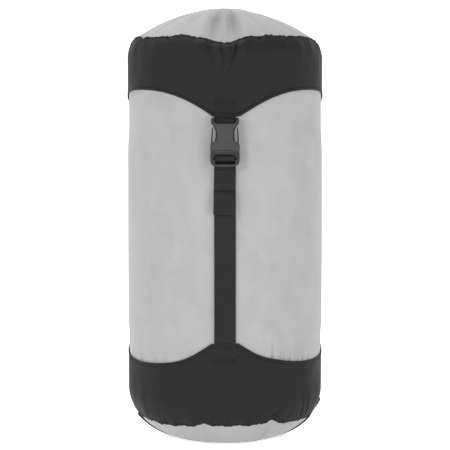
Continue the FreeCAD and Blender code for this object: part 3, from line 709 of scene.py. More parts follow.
def moulded_plate(work, angle, outlines, out_low, out_high, edge, shade_amount=0.0, bright_below=0.0):
    """Adds a plate to the work mesh: outlines beside and above, holes among them, with rounded edges.
    Its sides get painted shade in the plastic's deep colour, and so does the rest above bright_below, as its
    shade amount says; below that level the plate stays unshaded."""
    data = bpy.data.curves.new("plate", "CURVE")
    data.dimensions = "2D"
    data.fill_mode = "BOTH"
    data.extrude = ((out_high - out_low) / 2 - edge) * MM
    data.bevel_depth = edge * MM
    data.bevel_resolution = 2
    data.offset = -edge * MM
    for outline in outlines:
        spline = data.splines.new("POLY")
        spline.points.add(len(outline) - 1)
        for point, place in zip(spline.points, outline):
            point.co = (place[0] * MM, place[1] * MM, 0.0, 1.0)
        spline.use_cyclic_u = True
    mesh = made_mesh(new_object("plate", data))
    facing = np.array([vertex.normal.z for vertex in mesh.vertices])
    level = np.array([vertex.co.y for vertex in mesh.vertices]) / MM
    # Painted shade: the set amount above bright_below, and more on sides that turn away from the front.
    paint_shade(mesh, np.where(level < bright_below, 0.0, shade_amount) + 2.4 * (1 - np.maximum(facing, 0)))
    for vertex in mesh.vertices:
        x, y, z = vertex.co / MM
        vertex.co = Vector(in_strap_space(angle, x, z + (out_low + out_high) / 2, y)) * MM
    work.from_mesh(mesh)
    bpy.data.meshes.remove(mesh)


def finish_moulding(name, work, body, node):
    bmesh.ops.remove_doubles(work, verts=work.verts, dist=0.00001)
    bmesh.ops.recalc_face_normals(work, faces=work.faces)
    mesh = bpy.data.meshes.new(name)
    work.to_mesh(mesh)
    work.free()
    smooth(mesh)
    mesh.set_sharp_from_angle(angle=math.radians(50))
    obj = piece(name, mesh, "acetal", body, [node])
    facing = obj.modifiers.new("facing", "WEIGHTED_NORMAL")
    facing.keep_sharp = True
    return obj


# Outlines beside and above, right halves from the middle; a third value marks a corner.
EAR_TOP = [(9.85, 314.0), (10.4, 315.3), (11.4, 315.7), (12.4, 315.0), (12.9, 313.2), (12.8, 311.0),
           (12.2, 309.3)]
SOCKET_OUTLINE = [(0, 310.2), (7.2, 310.2), (8.9, 310.6), (9.75, 312.0)] + EAR_TOP + [
    (10.9, 308.0), (9.3, 306.4), (8.2, 304.2), (7.6, 301.5), (7.5, 298.6), (8.0, 295.9), (9.4, 293.9),
    (11.2, 292.7), (12.6, 291.2), (13.4, 288.8), (13.6, 286.4), (13.55, 284.5, 1), (9.0, 285.1),
    (4.5, 285.4), (0, 285.5)]
EAR_OUTLINE = [(9.5, 308.6), (9.8, 311.6)] + EAR_TOP + [(11.2, 308.3), (10.2, 308.0)]
PLUG_OUTLINE = [(0, 285.0), (4.5, 284.9), (9.0, 284.6), (13.1, 284.0, 1), (13.4, 282.6), (13.45, 279.0),
                (13.3, 275.6), (12.9, 273.4), (12.2, 272.2), (11.2, 271.6), (10.2, 271.3), (9.0, 270.8),
                (5.0, 270.35), (0, 270.2)]
PLUG_SLOT = [(0, 281.7), (5.0, 281.6), (9.7, 281.3), (10.35, 280.7), (10.4, 277.0), (10.4, 273.4),
             (9.9, 272.9), (5.0, 272.65), (0, 272.6)]
PLUG_FRAME_TOP = 0.2842     # metres; the plug's frame is below it and its tongue above


def make_socket(name, angle):
    """Side-release socket: two shells joined at the mouth and the top, and a frame for the webbing."""
    work = bmesh.new()
    shell = smooth_outline(SOCKET_OUTLINE)
    moulded_plate(work, angle, [shell], 101.9, 104.5, 0.8)
    wider = [(p[0] + (0.9 if 294.5 < p[1] < 307.0 else 0.0),) + p[1:] for p in SOCKET_OUTLINE]
    back = smooth_outline(wider)
    # The back plate here, and the ears below, take painted shade by their last value.
    moulded_plate(work, angle, [back], 96.3, 98.3, 0.6, 0.8)
    for way in (1, -1):
        for sides, low, high, out_low, out_high in (((12.3, 13.5), 284.7, 291.0, 96.9, 103.9),
                                                    ((5.2, 6.8), 291.5, 306.0, 97.6, 102.6)):
            wall = slab(*sorted(side * way for side in sides), low, high)
            moulded_plate(work, angle, [wall], out_low, out_high, 0.3)
        moulded_plate(work, angle, [[(x * way, z) for x, z in EAR_OUTLINE]], 96.6, 104.62, 0.7, 0.6)
    moulded_plate(work, angle, [slab(-8.6, 8.6, 303.7, 309.6)], 97.2, 103.0, 0.5)
    moulded_plate(work, angle, [slab(-10.6, 10.6, 310.6, 313.2)], 96.4, 99.7, 0.8)
    finish_moulding("socket_" + name, work, "lid", "buckle_socket_" + name)


def make_plug(name, angle):
    """Plug: the CAD tongue that enters the socket, under it a frame with the webbing's slot and bar."""
    node = "buckle_plug_" + name
    work = bmesh.new()
    work.from_mesh(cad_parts[node].data)
    bmesh.ops.remove_doubles(work, verts=work.verts, dist=0.00002)
    cut = bmesh.ops.bisect_plane(work, geom=work.verts[:] + work.edges[:] + work.faces[:], dist=1e-6,
                                 plane_co=(0, 0, PLUG_FRAME_TOP), plane_no=(0, 0, 1), clear_inner=True)
    bmesh.ops.holes_fill(work, edges=[e for e in cut["geom_cut"] if isinstance(e, bmesh.types.BMEdge)])
    bmesh.ops.dissolve_limit(work, angle_limit=math.radians(2.0), verts=work.verts, edges=work.edges)
    # The frame takes painted shade above its bottom bar, and the bar across its slot takes some too.
    moulded_plate(work, angle, [smooth_outline(PLUG_OUTLINE), smooth_outline(PLUG_SLOT)], 97.4, 103.4, 0.75,
                  0.55, 272.8)
    moulded_plate(work, angle, [slab(-10.8, 10.8, 276.2, 279.0)], 96.4, 99.6, 0.9, 0.4)
    finish_moulding("plug_" + name, work, "sack_top", node)


# ---- cloth shapes ----
def lobe_share(phi):
    """1 on a strap's lobe, 0 midway between two straps."""
    off = np.abs((phi + 60.0) % 120.0 - 60.0)
    reach = np.minimum(1.0, ARCH_RADIUS * np.sin(np.radians(60.0 - off)) / ARCH_REACH)
    return 0.4 * reach ** 2 + 0.6 * reach ** 4


def beside_strap(phi):
    """Distance round the cover from the nearest strap, growing towards the right."""
    return ((phi + 60.0) % 120.0 - 60.0) * math.pi / 180.0 * COVER


def waves(seed, phi, height, low, high, tall, count=7):
    """Uneven waves round the sack, about -1 to 1; low and high are waves per turn."""
    rng = random.Random(seed)
    total = np.zeros(np.broadcast(phi, height).shape)
    for _ in range(count):
        turns = rng.randint(low, high)
        climb, start = rng.uniform(-1, 1) * 2 * math.pi / tall, rng.uniform(0, 6.28)
        total = total + np.sin(turns * np.radians(phi) + climb * height + start)
    return total / math.sqrt(count * 1.5)


def hill(x, middle, width):
    return np.exp(-((x - middle) / width) ** 2)


def smooth_step(x, start, end):
    t = np.clip((x - start) / (end - start), 0, 1)
    return t * t * (3 - 2 * t)


def crease(side, height, begin, end, width):
    """1 along a line on the cloth, fading over its width and towards its end."""
    (s0, z0), (s1, z1) = begin, end
    ds, dz = s1 - s0, z1 - z0
    t = np.clip(((side - s0) * ds + (height - z0) * dz) / (ds * ds + dz * dz), 0, 1)
    off = np.hypot(side - s0 - t * ds, height - z0 - t * dz)
    return np.exp(-(off / width) ** 2) * (1 - 0.75 * t)


def softly(values, reach):
    """Averages a run of values that goes round."""
    total = sum(np.roll(values, k) for k in range(-reach, reach + 1))
    return total / (2 * reach + 1)


# How far each seam is above its even line, by angle round the sack.
LID_SAG = (
    (-180, 0.4), (-150, 0.8), (-140, -1.2), (-132, -4.6), (-123, -7.4), (-116, -6.6), (-106, -3.0),
    (-98, -0.6), (-85, 0.4), (-66, 0.3), (-62.3, -2.4), (-58, -1.4), (-37.5, -2.2), (-26.4, -0.7),
    (-16, -3.8), (-6, -7.2), (0, -9.4), (4, -8.5), (9.1, -5.0), (14, -2.9), (38.3, -0.7), (40.8, -2.4),
    (44, -1.2), (54.7, -0.6), (70, -1.3), (76, -2.4), (85, -1.9), (100, -1.4), (108, -3.8), (117, -7.0),
    (124, -6.2), (136, -1.6), (148, 0.6), (180, 0.4))
BASE_SAG = (
    (-180, 0.4), (-140, -0.8), (-120, 1.2), (-100, -0.4), (-90, 0.0), (-60, 0.0), (-41, -1.6),
    (-19, 0.3), (-12.7, 3.4), (-7, 0.8), (0, 1.2), (22, 1.3), (27, 2.6), (31, 5.6), (35, 2.0),
    (39, 0.4), (57, -0.3), (90, -1.0), (104, 0.8), (120, 1.6), (133, -0.8), (150, 2.6), (160, 0.2),
    (180, 0.4))


def seam_line(table, height, seed, ruffle):
    places, falls = zip(*table)
    sag = softly(np.interp(ROUND, places, falls), 2)
    jag = 0.45 * waves(seed, ROUND, 0.0, 60, 120, 1.0, 9) + waves(seed + 1, ROUND, 0.0, 14, 38, 1.0, 6)
    return height + sag + ruffle * jag


LID_SEAM_LINE = seam_line(LID_SAG, LID_SEAM, 3, 0.42)
BASE_SEAM_LINE = seam_line(BASE_SAG, BASE_SEAM - 1.2, 11, 0.5)
HEM = np.array([0.0, 0.2, 0.6, 1.2, 1.8, 2.2, 2.5, 2.75, 3.0, 3.4, 4.2])


def hem_swell(off):
    """A turned hem stands proud of the cloth and is drawn in along its stitching."""
    roll = 0.42 * (1 - smooth_step(off, 2.2, 2.9)) * smooth_step(off, -0.3, 0.5)
    return roll - 0.32 * hill(off, 2.85, 0.38)


def dark_cover(body, edge, seam, bend_height, drop, seam_radius, tuck_in, seed, creases, tack, upward):
    """A dark cover from its hem to its seam, where it tucks in, with painted shade in its grooves and folds,
    and its hem's stitches.
    upward is 1 where the seam is above the hem, and -1 where it is below."""
    proud, roomy_from, hem_seed = (0.6, 364.0, 5) if upward > 0 else (0.25, 54.0, 6)
    slope = np.gradient(edge) / (2 * math.pi * COVER / COLUMNS)
    stretch = np.sqrt(1 + slope ** 2)
    inset = COVER - seam_radius
    bend = (inset ** 2 + drop ** 2) / (2 * inset)
    end = math.asin(drop / bend)
    hem = edge[None, :] + upward * HEM[:, None] * stretch[None, :]
    share = np.linspace(0, 1, 30)[1:, None]
    wall = hem[-1][None, :] + share * (bend_height - hem[-1])[None, :]
    turn = np.linspace(0, end, 16)[1:]
    rise = bend * np.sin(turn) / drop
    arc = bend_height + rise[:, None] * (seam - bend_height)[None, :]
    height = np.concatenate([hem, wall, arc])
    arc_radius = COVER - bend * (1 - np.cos(turn))
    upright = len(HEM) + len(wall)
    radius = np.concatenate([np.full(upright, COVER), arc_radius])[:, None] + np.zeros_like(height)
    tilt = np.concatenate([np.zeros(upright), turn])[:, None]
    off_edge = upward * (height - edge[None, :]) / stretch[None, :]
    off_seam = upward * (seam[None, :] - height)
    phi = ROUND[None, :]
    side = np.radians(phi) * COVER
    swell = hem_swell(off_edge)
    swell = swell + 0.16 * waves(seed, phi, height, 5, 16, 90.0) * smooth_step(off_edge, 3, 12)
    gather = waves(seed + 1, phi, height, 55, 120, 60.0, 9)
    swell = swell + 0.55 * gather * np.exp(-off_seam / 5.0) * smooth_step(off_seam, -1.0, 1.5)
    broad = waves(seed + 2, phi, height, 16, 34, 160.0, 6)
    swell = swell + 0.5 * broad * np.exp(-np.maximum(off_seam, 0) / 16.0) * smooth_step(off_seam, 0.0, 4.0)
    swell = swell + 0.5 * hill(off_seam, 4.0, 3.5)
    below_seam = smooth_step(off_seam, 1.2, 5.0)
    # Painted shade in the hem's stitched groove and in the gathers under the seam.
    painted_shade = 0.35 * hill(off_edge, 2.85, 0.55)
    painted_shade = painted_shade + 0.25 * np.clip(-gather, 0, 1) * np.exp(-np.maximum(off_seam, 0) / 5.0)
    for begin, finish, width, depth in creases:
        line = crease(side, height, begin, finish, width)
        swell = swell - depth * line * below_seam
        # Painted shade along each crease.
        if depth > 0:
            painted_shade = painted_shade + 0.62 * min(depth, 1.6) * crease(side, height, begin, finish, width * 0.8)
    near = beside_strap(phi)
    over = (1 - smooth_step(np.abs(near), 10.0, 11.6))
    swell = swell + 0.28 * over * (1 - smooth_step(off_edge, 16.0, 24.0)) * smooth_step(off_edge, 3.0, 4.0)
    band = (1 - smooth_step(np.abs(near), 9.2, 10.8))
    swell = swell + band * (proud * hill(height, tack, 2.0) - 0.4 * hill(np.abs(height - tack), 3.6, 0.9))
    # Painted shade beside the bar tack and at its ends.
    ends = hill(np.abs(near), 8.6, 3.0) * hill(height, tack - 0.6, 1.9)
    beside_tack = 0.5 * hill(height, tack - 1.6, 1.0) + 0.25 * hill(height, tack + 1.5, 0.8)
    painted_shade = painted_shade + band * beside_tack + 0.45 * ends
    room = 0.22 + 0.12 * np.clip(upward * (height - roomy_from), 0, 20)
    swell = np.maximum(swell, -room)
    radius = radius + swell * np.cos(tilt)
    height = height + upward * swell * np.sin(tilt)
    stitch_row, stitch_lift = 6, 0.12
    stitches = round_sack(radius[stitch_row] + stitch_lift, ROUND, height[stitch_row])
    tuck = np.stack([radius[-1] - tuck_in, radius[-1] - 2.2])
    under = np.stack([height[-1] + upward * 0.2, height[-1] - upward * 1.2])
    painted_shade = np.concatenate([painted_shade + np.zeros_like(height), tuck * 0])[::upward]
    radius, height = np.concatenate([radius, tuck])[::upward], np.concatenate([height, under])[::upward]
    cloth(body + "_cover", radius, height, COVER, "dark_fabric", body, body + "_band", 0.6, painted_shade)
    stitched(body + "_hem_stitches", [(stitches, True)], body, 2.1, 3.0, 0.2, seed=hem_seed)


def strap_creases(raised, angle, scale):
    """The folds that a strap's pull draws in the lid's cover: two meet in a V below the seam's dip.
    Each is its two ends, its width and its depth, which is below 0 for a ridge."""
    middle = math.radians((angle + 180) % 360 - 180) * COVER
    lines = [((-3.8, 382.5), (-0.3, 361.5), 1.1, 1.7), ((11.4, 382.0), (3.4, 358.0), 1.4, 2.0),
             ((-15.8, 381.0), (-9.8, 364.0), 1.7, 1.0), ((6.2, 382.0), (2.4, 366.0), 1.0, 0.7),
             ((-24.0, 386.0), (-18.0, 372.0), 2.6, 0.4), ((25.0, 387.0), (18.0, 372.0), 2.4, 0.4),
             ((4.2, 383.0), (1.6, 361.0), 2.8, -1.3), ((-9.4, 383.0), (-4.6, 363.0), 3.0, -1.2),
             ((16.6, 384.0), (8.5, 360.0), 3.4, -1.2), ((-20.5, 384.0), (-14.0, 364.0), 3.6, -0.9),
             ((0.0, 352.0), (0.5, 338.0), 4.0, 0.3)]
    return [((middle + a[0] * scale, a[1] + raised), (middle + b[0] * scale, b[1] + raised), width, depth)
            for a, b, width, depth in lines]


def make_lid_cover():
    shifted = ROUND - 1.15 * hill(ROUND, 0.0, 48.0) * (1 - hill(ROUND, 0.0, 9.0))
    edge = LID_EDGE - LID_LOBE_FALL * lobe_share(shifted)
    creases = strap_creases(0.0, 0.0, 1.0)
    creases += strap_creases(0.5, 120.0, -0.9) + strap_creases(-0.5, 240.0, 0.95)
    creases += [((57.0, 383.0), (67.0, 381.0), 1.6, 0.8), ((-60.0, 388.0), (-49.0, 378.0), 1.8, 0.5),
                ((-97.0, 388.0), (-92.0, 374.0), 2.0, 0.6), ((66.0, 391.0), (70.0, 379.0), 1.6, 0.5),
                ((118.0, 388.0), (124.0, 372.0), 2.2, 0.6)]
    dark_cover("lid", edge, LID_SEAM_LINE, LID_BEND, LID_SEAM - LID_BEND, LID_SEAM_RADIUS, 1.5, 21, creases,
               LID_TACK, 1)


def make_base_cover():
    edge = BASE_EDGE + BASE_LOBE_RISE * lobe_share(ROUND) - 1.5 * hill(ROUND, -50.0, 22.0)
    edge = edge - 3.3 * hill(ROUND, -22.0, 16.0) - 2.2 * hill(ROUND, 18.0, 11.0) - 0.5 * hill(ROUND, 0.0, 9.0)
    creases = [((51.7, 33.0), (43.0, 47.0), 1.7, 1.0), ((52.0, 34.0), (62.0, 48.0), 1.8, 1.0),
               ((90.0, 32.0), (80.0, 66.0), 2.4, 1.2), ((97.0, 36.0), (84.0, 76.0), 2.6, 1.0),
               ((70.0, 30.0), (74.0, 54.0), 2.0, 0.8),
               ((-21.0, 31.0), (-26.0, 41.0), 1.8, 0.7), ((-14.0, 31.0), (-8.0, 42.0), 1.8, 0.6),
               ((-92.0, 28.0), (-84.0, 60.0), 3.0, 0.6), ((-66.0, 27.0), (-70.0, 46.0), 2.4, 0.5),
               ((150.0, 30.0), (143.0, 52.0), 2.4, 0.8), ((-170.0, 30.0), (-178.0, 50.0), 2.4, 0.8),
               ((250.0, 30.0), (243.0, 52.0), 2.4, 0.8), ((28.0, 27.0), (25.0, 38.0), 1.6, 0.5)]
    dark_cover("base", edge, BASE_SEAM_LINE, BASE_BEND, BASE_BEND - BASE_SEAM, BASE_SEAM_RADIUS, 1.3, 37,
               creases, BASE_TACK, -1)


def make_seam_roll(name, seam, seam_radius, body, node, seed, lean):
    """The seam's own ridge: folded cloth drawn up by its stitching."""
    count = 12
    turn = np.radians(np.arange(count) * 360.0 / count)[None, :]
    fat = 1.05 + 0.22 * waves(seed, ROUND, 0.0, 60, 120, 1.0, 7)[:, None]
    middle_radius = seam_radius + 0.25 * waves(seed + 1, ROUND, 0.0, 30, 70, 1.0, 5)[:, None]
    radius = middle_radius + fat * np.cos(turn)
    height = seam[:, None] + lean + 1.15 * fat * np.sin(turn)
    points = round_sack(radius, ROUND[:, None], height)
    grid = np.arange(COLUMNS * count).reshape(COLUMNS, count)
    after, up = np.roll(grid, -1, axis=0), np.roll(grid, -1, axis=1)
    after_up = np.roll(after, -1, axis=1)
    faces = np.stack([grid, after, after_up, up], -1).reshape(-1, 4)
    i, j = np.meshgrid(np.arange(COLUMNS), np.arange(count), indexing="ij")
    step, rise = 2 * math.pi * seam_radius / COLUMNS, 0.6
    cut = corner_places(*(((i + a) * step, (j + b) * rise) for a, b in ((0, 0), (1, 0), (1, 1), (0, 1))))
    piece(name, new_mesh(points.reshape(-1, 3), faces.tolist(), cut), "dark_fabric", body, [node])


def make_sack_wall():
    heights = np.concatenate([np.linspace(53, 80, 6)[:-1], np.linspace(80, 128, 31)[:-1],
                              np.linspace(128, 305, 35)[:-1], np.linspace(305, 363.6, 18)])
    phi = ROUND[None, :]
    height = heights[:, None] + np.zeros((1, COLUMNS))
    edge = BASE_EDGE + BASE_LOBE_RISE * lobe_share(phi)
    over = height - edge
    clear = smooth_step(np.abs(beside_strap(phi)), 12.0, 24.0)
    swell = 0.3 * waves(51, phi, height, 4, 13, 120.0) * smooth_step(height, 112, 140)
    swell = swell * (1 - smooth_step(height, 300, 340))
    between = hill(over, 7.0, 6.0)
    rng = random.Random(8)
    pucker = np.zeros_like(height)
    for _ in range(46):
        place, tall, deep = rng.uniform(-180, 180), rng.uniform(5, 13), rng.uniform(0.15, 0.5)
        wide = rng.uniform(0.7, 1.5)
        if 24 < place < 60:
            deep += 0.3
        pucker -= deep * hill(phi, place, wide) * np.exp(-np.maximum(over, 0) / tall)
    for place in (28.0, 33.5, 36.0, 41.0, 47.5, 52.0, 57.5, -57.0):
        pucker -= 1.3 * hill(phi, place, 0.8) * np.exp(-np.maximum(over, 0) / 6.0)
    swell = swell * 0.5 + clear * (0.45 * between + 0.9 * pucker * smooth_step(over, -4, 0))
    belly = 1.35 * clear * smooth_step(over, 8.0, 34.0) * (1 - smooth_step(height, 280.0, 314.0))
    under_lid = smooth_step(height, 296.0, 322.0)
    radius = WALL + np.minimum(swell, 0.08 + (0.17 + 0.5 * clear) * (1 - under_lid)) + belly
    # Painted shade in the puckers above the base cover's edge.
    painted_shade = 0.28 * clear * np.clip(-pucker, 0, 1.2) * smooth_step(over, -4, 0)
    obj = cloth("sack_wall", radius, height, WALL, "light_fabric", "base", "sack_tube", painted_shade=painted_shade)
    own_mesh(obj)
    thicken(obj, 0.5)


def fold_sum(phi, folds):
    """Radial folds of a gathered disc: each is a place, a width and a height."""
    total = np.zeros_like(phi)
    for place, width, tall in folds:
        off = (phi - place + 180) % 360 - 180
        total = total + tall * hill(off, 0, width)
    return total


LID_FOLDS = [(0.0, 2.6, 1.1), (-8.0, 3.6, -1.5), (8.5, 3.8, -1.6), (-17.0, 4.2, 0.8), (19.0, 5.0, 0.8),
             (-29.0, 4.0, -0.6), (30.0, 3.2, -0.6), (-38.0, 5.0, 0.5), (41.0, 5.0, 0.4), (-52.0, 3.0, -0.5),
             (52.0, 3.0, -0.6), (-70.0, 4.0, -0.4), (74.0, 4.0, -0.5)]


def make_lid_cloth():
    """The lid's light top, drawn into folds where the straps pull its seam down, with painted shade in the
    folds.
    """
    rise = LID_TOP - LID_SEAM
    ball = (LID_SEAM_RADIUS ** 2 + rise ** 2) / (2 * rise)
    share = np.linspace(1.0, 0.02, 60)[:, None]
    phi = ROUND[None, :] + np.zeros_like(share)
    radius = LID_SEAM_RADIUS * share + np.zeros_like(phi)
    crown = np.sqrt(ball ** 2 - radius ** 2) - (ball - rise)
    fall = (LID_SEAM_LINE - LID_SEAM)[None, :]
    height = LID_SEAM + crown + fall * share ** 5
    folds = LID_FOLDS + [(120 - place, width, tall * 0.9) for place, width, tall in LID_FOLDS[:7]]
    folds += [(-120 + place, width, tall * 0.9) for place, width, tall in LID_FOLDS[:7]]
    drawn = fold_sum(phi, folds)
    run = np.sin(np.pi * np.minimum(share, 0.999) ** 1.6) ** 0.8
    swell = 2.0 * drawn * run
    # Painted shade: broad near each strap, deeper in the fold valleys and a little less on the ridges.
    gathered = sum(hill((phi - angle + 180) % 360 - 180, 0.0, 17.0) for angle in STRAPS.values())
    painted_shade = 0.33 * gathered + 0.18 * np.clip(-drawn, 0, 1.6) - 0.06 * np.clip(drawn, 0, 1.6)
    painted_shade = painted_shade * (0.35 + 0.65 * run)
    fine = waves(71, phi, 0.0, 45, 90, 1.0, 9) * 0.5 * np.exp(-(1 - share) * LID_SEAM_RADIUS / 7.0)
    broad = waves(72, phi, radius, 3, 11, 70.0) * 0.35 * share
    aside = smooth_step(radius * np.sin(np.radians(phi)), -20.0, 60.0)
    slack = (1.3 + 1.2 * aside) * (1 - share ** 4)
    height = height + swell + fine + broad - slack
    beside, before = np.abs(radius * np.sin(np.radians(phi))), radius * np.cos(np.radians(phi))
    over_lock = ((1 - smooth_step(radius, 48.0, 58.0)) * (1 - smooth_step(beside, 17.0, 27.0))
                 * smooth_step(before, 5.0, 15.0))
    height = height + over_lock * np.maximum(LID_SEAM + crown - 0.7 - height, 0)
    cloth("lid_cloth", radius, height, LID_SEAM_RADIUS, "light_fabric", "lid", "lid_dome", 0.4, painted_shade,
          pole="last")


def make_base_cloth():
    """The light base, round below, with a fold that runs in from the seam's notch."""
    flat, low = 36.0, 1.3
    across, up = BASE_SEAM_RADIUS - flat, BASE_SEAM - low
    bend = (across ** 2 + up ** 2) / (2 * up)
    out = np.concatenate([[1.5, 10.0, 20.0, 28.0], np.linspace(flat, BASE_SEAM_RADIUS, 54)])[:, None]
    phi = ROUND[None, :] + np.zeros_like(out)
    radius = out + np.zeros_like(phi)
    height = low + bend - np.sqrt(bend ** 2 - np.maximum(radius - flat, 0) ** 2)
    share = np.clip((radius - flat) / across, 0, 1)
    height = height + (BASE_SEAM_LINE - BASE_SEAM)[None, :] * share ** 4
    folds = [(29.5, 1.7, 1.5), (33.5, 1.5, -1.1), (24.5, 2.2, -0.9), (-12.7, 2.0, 0.6), (-20.0, 3.0, -0.5),
             (55.0, 3.0, -0.4), (-50.0, 3.0, 0.4), (120.0, 3.0, -0.7), (-120.0, 3.0, -0.7), (150.0, 2.4, 1.0)]
    swell = fold_sum(phi, folds) * share * smooth_step(1.02 - share, 0.0, 0.15)
    fine = 0.3 * waves(81, phi, 0.0, 45, 95, 1.0, 9) * np.exp(-(1 - share) * across / 5.0)
    broad = 0.3 * waves(82, phi, radius, 3, 12, 60.0) * share
    height = np.maximum(height + swell + fine + broad, low + 0.05)
    cloth("base_cloth", radius, height, BASE_SEAM_RADIUS, "light_fabric", "base", "base_disc", 0.4,
          pole="first")


# ---- the gathered neck under the lid ----
def make_neck():
    bend, slope = 33.0, math.radians(9.4)
    turn = math.pi / 2 - slope
    arcs = np.linspace(0, turn, 16)
    arc = [(WALL - bend * (1 - math.cos(a)), 364.0 + bend * math.sin(a)) for a in arcs]
    far = arc[-1]
    cone = [(r, far[1] + (far[0] - r) * math.tan(slope)) for r in np.linspace(far[0], 19.0, 34)[1:]]
    profile = np.array([(WALL + 0.1, 357.6), (WALL + 0.42, 357.8), (WALL + 0.42, 361.0)] + arc + cone
                       + [(NECK + 0.9, cone[-1][1] + 1.2), (NECK + 0.5, CORD_HEIGHT - 1.0)])
    phi = ROUND[None, :]
    radius = profile[:, :1] + np.zeros_like(phi)
    height = profile[:, 1:] + np.zeros_like(phi)
    flute = np.abs(np.sin(np.radians(phi) * 13 + 0.8 * np.sin(np.radians(phi) * 5)))
    pleats = flute ** 0.7
    near = smooth_step(90.0 - radius, 0.0, 55.0)
    lock_room = 1 - 0.85 * hill((phi + 180) % 360 - 180, 0, 38.0) * smooth_step(60.0 - radius, 0.0, 15.0)
    gather = near * lock_room * (1.7 * (pleats - 0.8) + 0.5 * waves(91, phi, 0.0, 20, 44, 1.0, 7))
    slack = 0.9 * waves(92, phi, radius, 4, 11, 60.0) * smooth_step(94.0 - radius, 0.0, 20.0)
    slack = slack * near * lock_room
    gather = np.where(radius < NECK + 2.5, gather * 0.4, gather)
    height = height + np.minimum(gather + slack, 0.6)
    cloth("sack_shoulder_cloth", radius, height, WALL, "light_fabric", "sack_top", "sack_shoulder", 0.4)
    around = np.radians(np.linspace(-150, 195, 24))[:, None]
    fat = 3.15 - 0.55 * (1 - flute) ** 1.5
    channel_radius = NECK + fat * np.cos(around)
    channel_height = CORD_HEIGHT + fat * np.sin(around)
    cloth("cord_channel", channel_radius, channel_height, NECK, "light_fabric", "sack_top", "neck_channel",
          0.4)
    share = np.linspace(0, 1, 14)[:, None]
    spread = NECK + 0.4 + 6.0 * share ** 1.3 + (flute - 0.45) * 3.0 * share
    top = CORD_HEIGHT + 2.4 + 7.0 * share + 0.5 * share * waves(93, phi, 0.0, 9, 20, 1.0, 5)
    spread = spread + np.zeros_like(top)
    cloth("mouth_ruffle", spread, top, NECK, "light_fabric", "sack_top", "neck_ruffle", 0.45)
    lap = round_sack(WALL + 0.5, ROUND, 359.6)
    stitched("shoulder_stitches", [(lap, True)], "sack_top", 2.1, 3.0, 0.14, seed=10)
    rim = round_sack(spread[-3] + 0.3, ROUND, top[-3])
    stitched("ruffle_stitches", [(rim, True)], "sack_top", 1.8, 2.6, 0.16, seed=9)


def make_cord():
    reach, gap = -46.0, 1.35
    ring_angle = np.radians(np.arange(96) * 3.75)
    ring = np.stack([NECK * np.cos(ring_angle), NECK * np.sin(ring_angle), np.full(96, CORD_HEIGHT)], -1)
    legs = []
    for way in (-1, 1):
        y = np.linspace(-NECK, reach, 30)
        legs.append((np.stack([np.zeros(30), y, np.full(30, CORD_HEIGHT + way * gap)], -1), False))
    piece("draw_cord", tube_mesh([(ring, True)] + legs, 1.15), "cord", "sack_top", ["drawcord"])
    turn = np.linspace(0, 2 * math.pi, 72, endpoint=False)
    wide = 1.45 + 0.62 * np.cos(3 * turn)
    knot = np.stack([0.62 * np.sin(3 * turn) * 1.2, wide * np.cos(2 * turn) - 47.5,
                     wide * np.sin(2 * turn) + CORD_HEIGHT], -1)
    piece("cord_knot", tube_mesh([(knot, True)], 1.0), "cord", "sack_top", ["drawcord_knot"])
    softened("lock_barrel", "cord_lock_barrel", "cord_lock", 0.5)
    softened("lock_plunger", "cord_lock_plunger", "lock_plunger", 0.45)
    coil_turns, coil_radius = 6.5, 3.2
    coil_turn = np.linspace(0, 2 * math.pi * coil_turns, 150)
    coil = np.stack([np.linspace(-12.4, -5.0, 150), -28.9 + coil_radius * np.cos(coil_turn),
                     CORD_HEIGHT + coil_radius * np.sin(coil_turn)], -1)
    spring = piece("lock_spring", tube_mesh([(coil, False)], 0.3, 6), "spring_steel", "cord_lock",
                   ["cord_lock_spring"])
    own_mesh(spring)


# ---- webbing and buckles ----
def make_handle():
    """The grab handle under the base. Its right end is sewn on a little above the seam."""
    flat, middle, rise, reach = 36.0, 0.65, 23.4, 50.2
    bend = (reach ** 2 + rise ** 2) / (2 * rise)
    turn = np.linspace(0, math.asin(reach / bend), 26)
    right = [(flat + bend * math.sin(a), middle + bend - bend * math.cos(a)) for a in turn]
    left = [(-x, z) for x, z in reversed(right)]
    cover_bend = 34.56
    low = math.asin((BASE_BEND - 29.5) / cover_bend)
    climb = [(COVER + 1.0 - cover_bend * (1 - math.cos(a)), BASE_BEND - cover_bend * math.sin(a))
             for a in np.linspace(low, math.asin((BASE_BEND - 39.0) / cover_bend), 8)]
    line = left + [(x, middle) for x in np.linspace(-15, 15, 7)] + right[:-2] + climb
    points = [(x, 0.0, z) for x, z in line]
    piece("handle_webbing", strip_mesh(points, (0, 1, 0)), "webbing", "base", ["base_handle"])
    rows = []
    for x, z in (left[1], climb[-2]):
        way = 1.0 if x > 0 else -1.0
        y = np.linspace(-8.5, 8.5, 20)
        rows.append((np.stack([np.full(20, x + 0.8 * way), y, np.full(20, z - 0.2)], -1), False))
    stitched("handle_stitches", rows, "base", 1.4, 1.8, 0.2, seed=12)


def webbing(name, angle, side, out, height, body, node, thick=WEB_THICK, drawn=False):
    """Webbing along points beside, out from and above the strap at that angle."""
    line = in_strap_space(angle, side, out, height)
    mesh = strip_mesh(line, in_strap_space(angle, 1.0, 0.0, 0.0), thick)
    return piece(name, mesh, "webbing_drawn" if drawn else "webbing", body, [node])


def make_strap(name, angle):
    heights = np.linspace(90.0, 272.2, 120)
    sink = 0.65 * (1 - smooth_step(heights, 104.0, 112.0))
    strap = webbing("load_strap_" + name, angle, 0.0, 95.42 - sink, heights, "base", "strap_" + name,
                    drawn=True)
    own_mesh(strap)
    fold = rounded([(95.4, 272.2), (95.4, 280.3), (101.0, 280.3), (100.7, 275.7), (96.8, 274.5),
                    (96.7, 268.25)], 1.15)
    webbing("strap_fold_" + name, angle, 0.0, fold[:, 0], fold[:, 1], "sack_top", "strap_bight_" + name)


